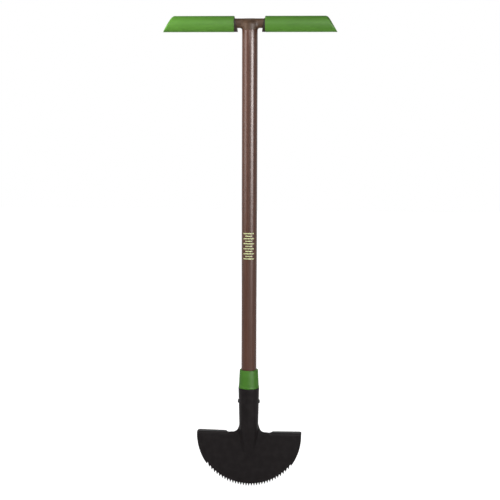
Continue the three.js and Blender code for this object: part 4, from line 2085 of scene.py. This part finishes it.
@dataclass
class Studio:
    """Camera, lights, white surroundings and a white floor that takes a soft shadow.

    Attributes:
        lens: Focal length, in millimetres.
        sensor: Width of the camera's sensor, in millimetres.
        distance: Camera's level distance from the tube's axis.
        azimuth: Camera's turn round the object, positive to the right.
        level: Camera's level.
        pitch: How far it looks down.
        roll: How far it is turned about its own line of sight.
        shift: Its shift across and up.
        ambient: How bright the surroundings are to a surface that they light.
        floor_half: Half the floor's width.
        floor_cells: Cells of the floor's grid along each side.
        floor_tones: The two greys of the floor's cloth.
        speckle: Size of the cloth's blotches.
        near_glow: How bright the floor shows near the object.
        glow_run: Distance at which its glow starts to rise, and at which it is full.
        boxes: The lights.
    """

    lens: float = 85.35
    sensor: float = 36.0
    distance: float = 2.45
    azimuth: float = 5.0
    level: float = 0.833
    pitch: float = 7.5
    roll: float = 0.17
    shift: tuple[float, float] = (0.0015, -0.0003)
    ambient: float = 0.13
    floor_half: float = 6.0
    floor_cells: int = 24
    floor_tones: tuple[Colour, Colour] = ((0.78, 0.78, 0.78), (0.8, 0.8, 0.8))
    speckle: float = 30 * MM
    near_glow: float = 0.85
    glow_run: tuple[float, float] = (1.0, 3.0)
    boxes: list[SoftBox] = field(
        default_factory=lambda: [
            SoftBox("left_strip", -60, 1.2, 1.1, 1.1, 0.7, 1.2, 20, Shows.REFLECTED),
            SoftBox("right_strip", 43, 2.2, 1.12, 1.12, 1.1, 1.0, 130, Shows.REFLECTED),
            SoftBox("right_foot", 43, 2.2, 0.45, 0.45, 1.1, 0.3, 12, Shows.REFLECTED),
            SoftBox("front_sheen", 7, 2.3, 2.0, 0.5, 1.6, 1.2, 42, Shows.REFLECTED),
            SoftBox("front_fill", 7, 2.3, 0.72, 0.45, 1.6, 1.2, 25.5, Shows.PLAIN),
            SoftBox("left_fill", -72, 0.5, 1.06, 0.97, 0.3, 0.2, 2.1, Shows.PLAIN),
            SoftBox("back_fill", 180, 2.3, 1.8, 0.5, 1.6, 1.2, 24, Shows.PLAIN),
        ]
    )

    def place_camera(self) -> None:
        """Makes the camera and gives it to the scene."""
        data = bpy.data.cameras.new("camera")
        data.lens = self.lens
        data.sensor_width = self.sensor
        data.shift_x, data.shift_y = self.shift
        made = bpy.data.objects.new("camera", data)
        made.location = round_tube(self.azimuth, self.distance, self.level)
        down = math.radians(self.pitch)
        look = -round_tube(self.azimuth, math.cos(down), math.sin(down))
        aim = look.to_track_quat("-Z", "Y").to_matrix().to_4x4()
        made.rotation_euler = (aim @ Matrix.Rotation(math.radians(self.roll), 4, "Z")).to_euler()
        bpy.context.scene.collection.objects.link(made)
        bpy.context.scene.camera = made

    @staticmethod
    def seen_directly(graph: Graph) -> Value:
        """Whether a ray comes straight from the camera, a mirror or glass.

        Args:
            graph: The graph to add the nodes to.

        Returns:
            1 where it does, otherwise 0.
        """
        rays = graph.add("ShaderNodeLightPath").outputs
        names = ("Is Camera Ray", "Is Glossy Ray", "Is Transmission Ray")
        camera, mirror, glass = (Value(graph, rays[name]) for name in names)
        return camera.either(mirror).either(glass)

    def place_world(self) -> None:
        """Makes surroundings that look white and light the object more gently."""
        world = bpy.data.worlds.new("white_surroundings")
        bpy.context.scene.world = world
        graph = Graph(world)
        seen = self.seen_directly(graph)
        strength = seen + (1 - seen) * self.ambient
        white = {"Color": (1, 1, 1, 1), "Strength": strength}
        lit = graph.add("ShaderNodeBackground", None, white)
        graph.add("ShaderNodeOutputWorld", None, {"Surface": lit.outputs[0]})

    def floor_cloth(self) -> bpy.types.Material:
        """Makes a pale cloth that glows white where it is seen and still takes a shadow.

        Returns:
            The cloth's material.
        """
        made = bpy.data.materials.new("white_floor")
        graph = Graph(made)
        tone = graph.mix(graph.noise(self.speckle), *self.floor_tones)
        cloth = graph.add("ShaderNodeBsdfDiffuse", None, {"Color": tone})
        length = {"operation": "LENGTH"}
        away = graph.value("ShaderNodeVectorMath", length, {0: graph.place()}, "Value")
        rise = (1 - self.near_glow) * away.ramp(*self.glow_run)
        strength = self.seen_directly(graph) * (self.near_glow + rise)
        glow = graph.add("ShaderNodeEmission", None, {"Strength": strength})
        both = graph.add("ShaderNodeAddShader", None, {0: cloth.outputs[0], 1: glow.outputs[0]})
        graph.add("ShaderNodeOutputMaterial", None, {"Surface": both.outputs[0]})
        return made

    def place_floor(self) -> None:
        """Makes the floor."""
        mesh = bmesh.new()
        cells = self.floor_cells
        bmesh.ops.create_grid(mesh, x_segments=cells, y_segments=cells, size=self.floor_half)
        data = bpy.data.meshes.new("floor")
        mesh.to_mesh(data)
        mesh.free()
        data.materials.append(self.floor_cloth())
        floor = bpy.data.objects.new("floor", data)
        bpy.context.scene.collection.objects.link(floor)

    def build(self) -> None:
        """Places everything."""
        bpy.context.scene.view_settings.view_transform = "Standard"
        self.place_camera()
        self.place_world()
        self.place_floor()
        for box in self.boxes:
            box.place()


def main() -> None:
    """Builds the studio and then each piece of the edger."""
    logging.basicConfig(level=logging.INFO, format="%(name)s %(message)s")
    Studio().build()

    coat = PowderCoat("black_powder_coat")
    rivet_coat = PowderCoat("black_rivet_coat", pebble=0.3 * MM, gloss=0.35)
    paint = TubePaint("brown_tube_paint")
    ink = PrintedBand("cream_print_ink", paint)
    green = Moulding("green_collar_plastic", (0.071, 0.23, 0.02), (0.081, 0.253, 0.026))
    dark = Moulding("dark_plug_plastic", (0.02, 0.02, 0.019), (0.028, 0.028, 0.027))
    brown = Moulding("brown_tee_plastic", (0.092, 0.05, 0.028), (0.102, 0.057, 0.033))
    # A darker copy of the tee's brown: painted shade on the cuffs at the grips' inner ends.
    shade = Moulding("painted_shade_cuff_plastic", (0.03, 0.021, 0.014), (0.036, 0.025, 0.017))
    grip = Moulding(
        "green_grip_rubber",
        (0.093, 0.256, 0.029),
        (0.105, 0.282, 0.034),
        along=(0.3, 1, 1),
    )

    head = BladeHead()
    head.build(coat.material())
    tube = Tube()
    tube.build(paint.material())
    Collar().build(tube, head, green.material())
    Rivet().build(head, rivet_coat.material())
    FootPlug().build(tube, dark.material())
    Film().build(tube, ink.material())
    cross = CrossHandle(tube)
    cross.build_core(brown.material())
    cross.build_cuffs(shade.material())
    Screw().build(tube, ZincPlate("zinc_screw_plate").material())
    cross.build_grips(grip.material())


if __name__ == "__main__":
    main()
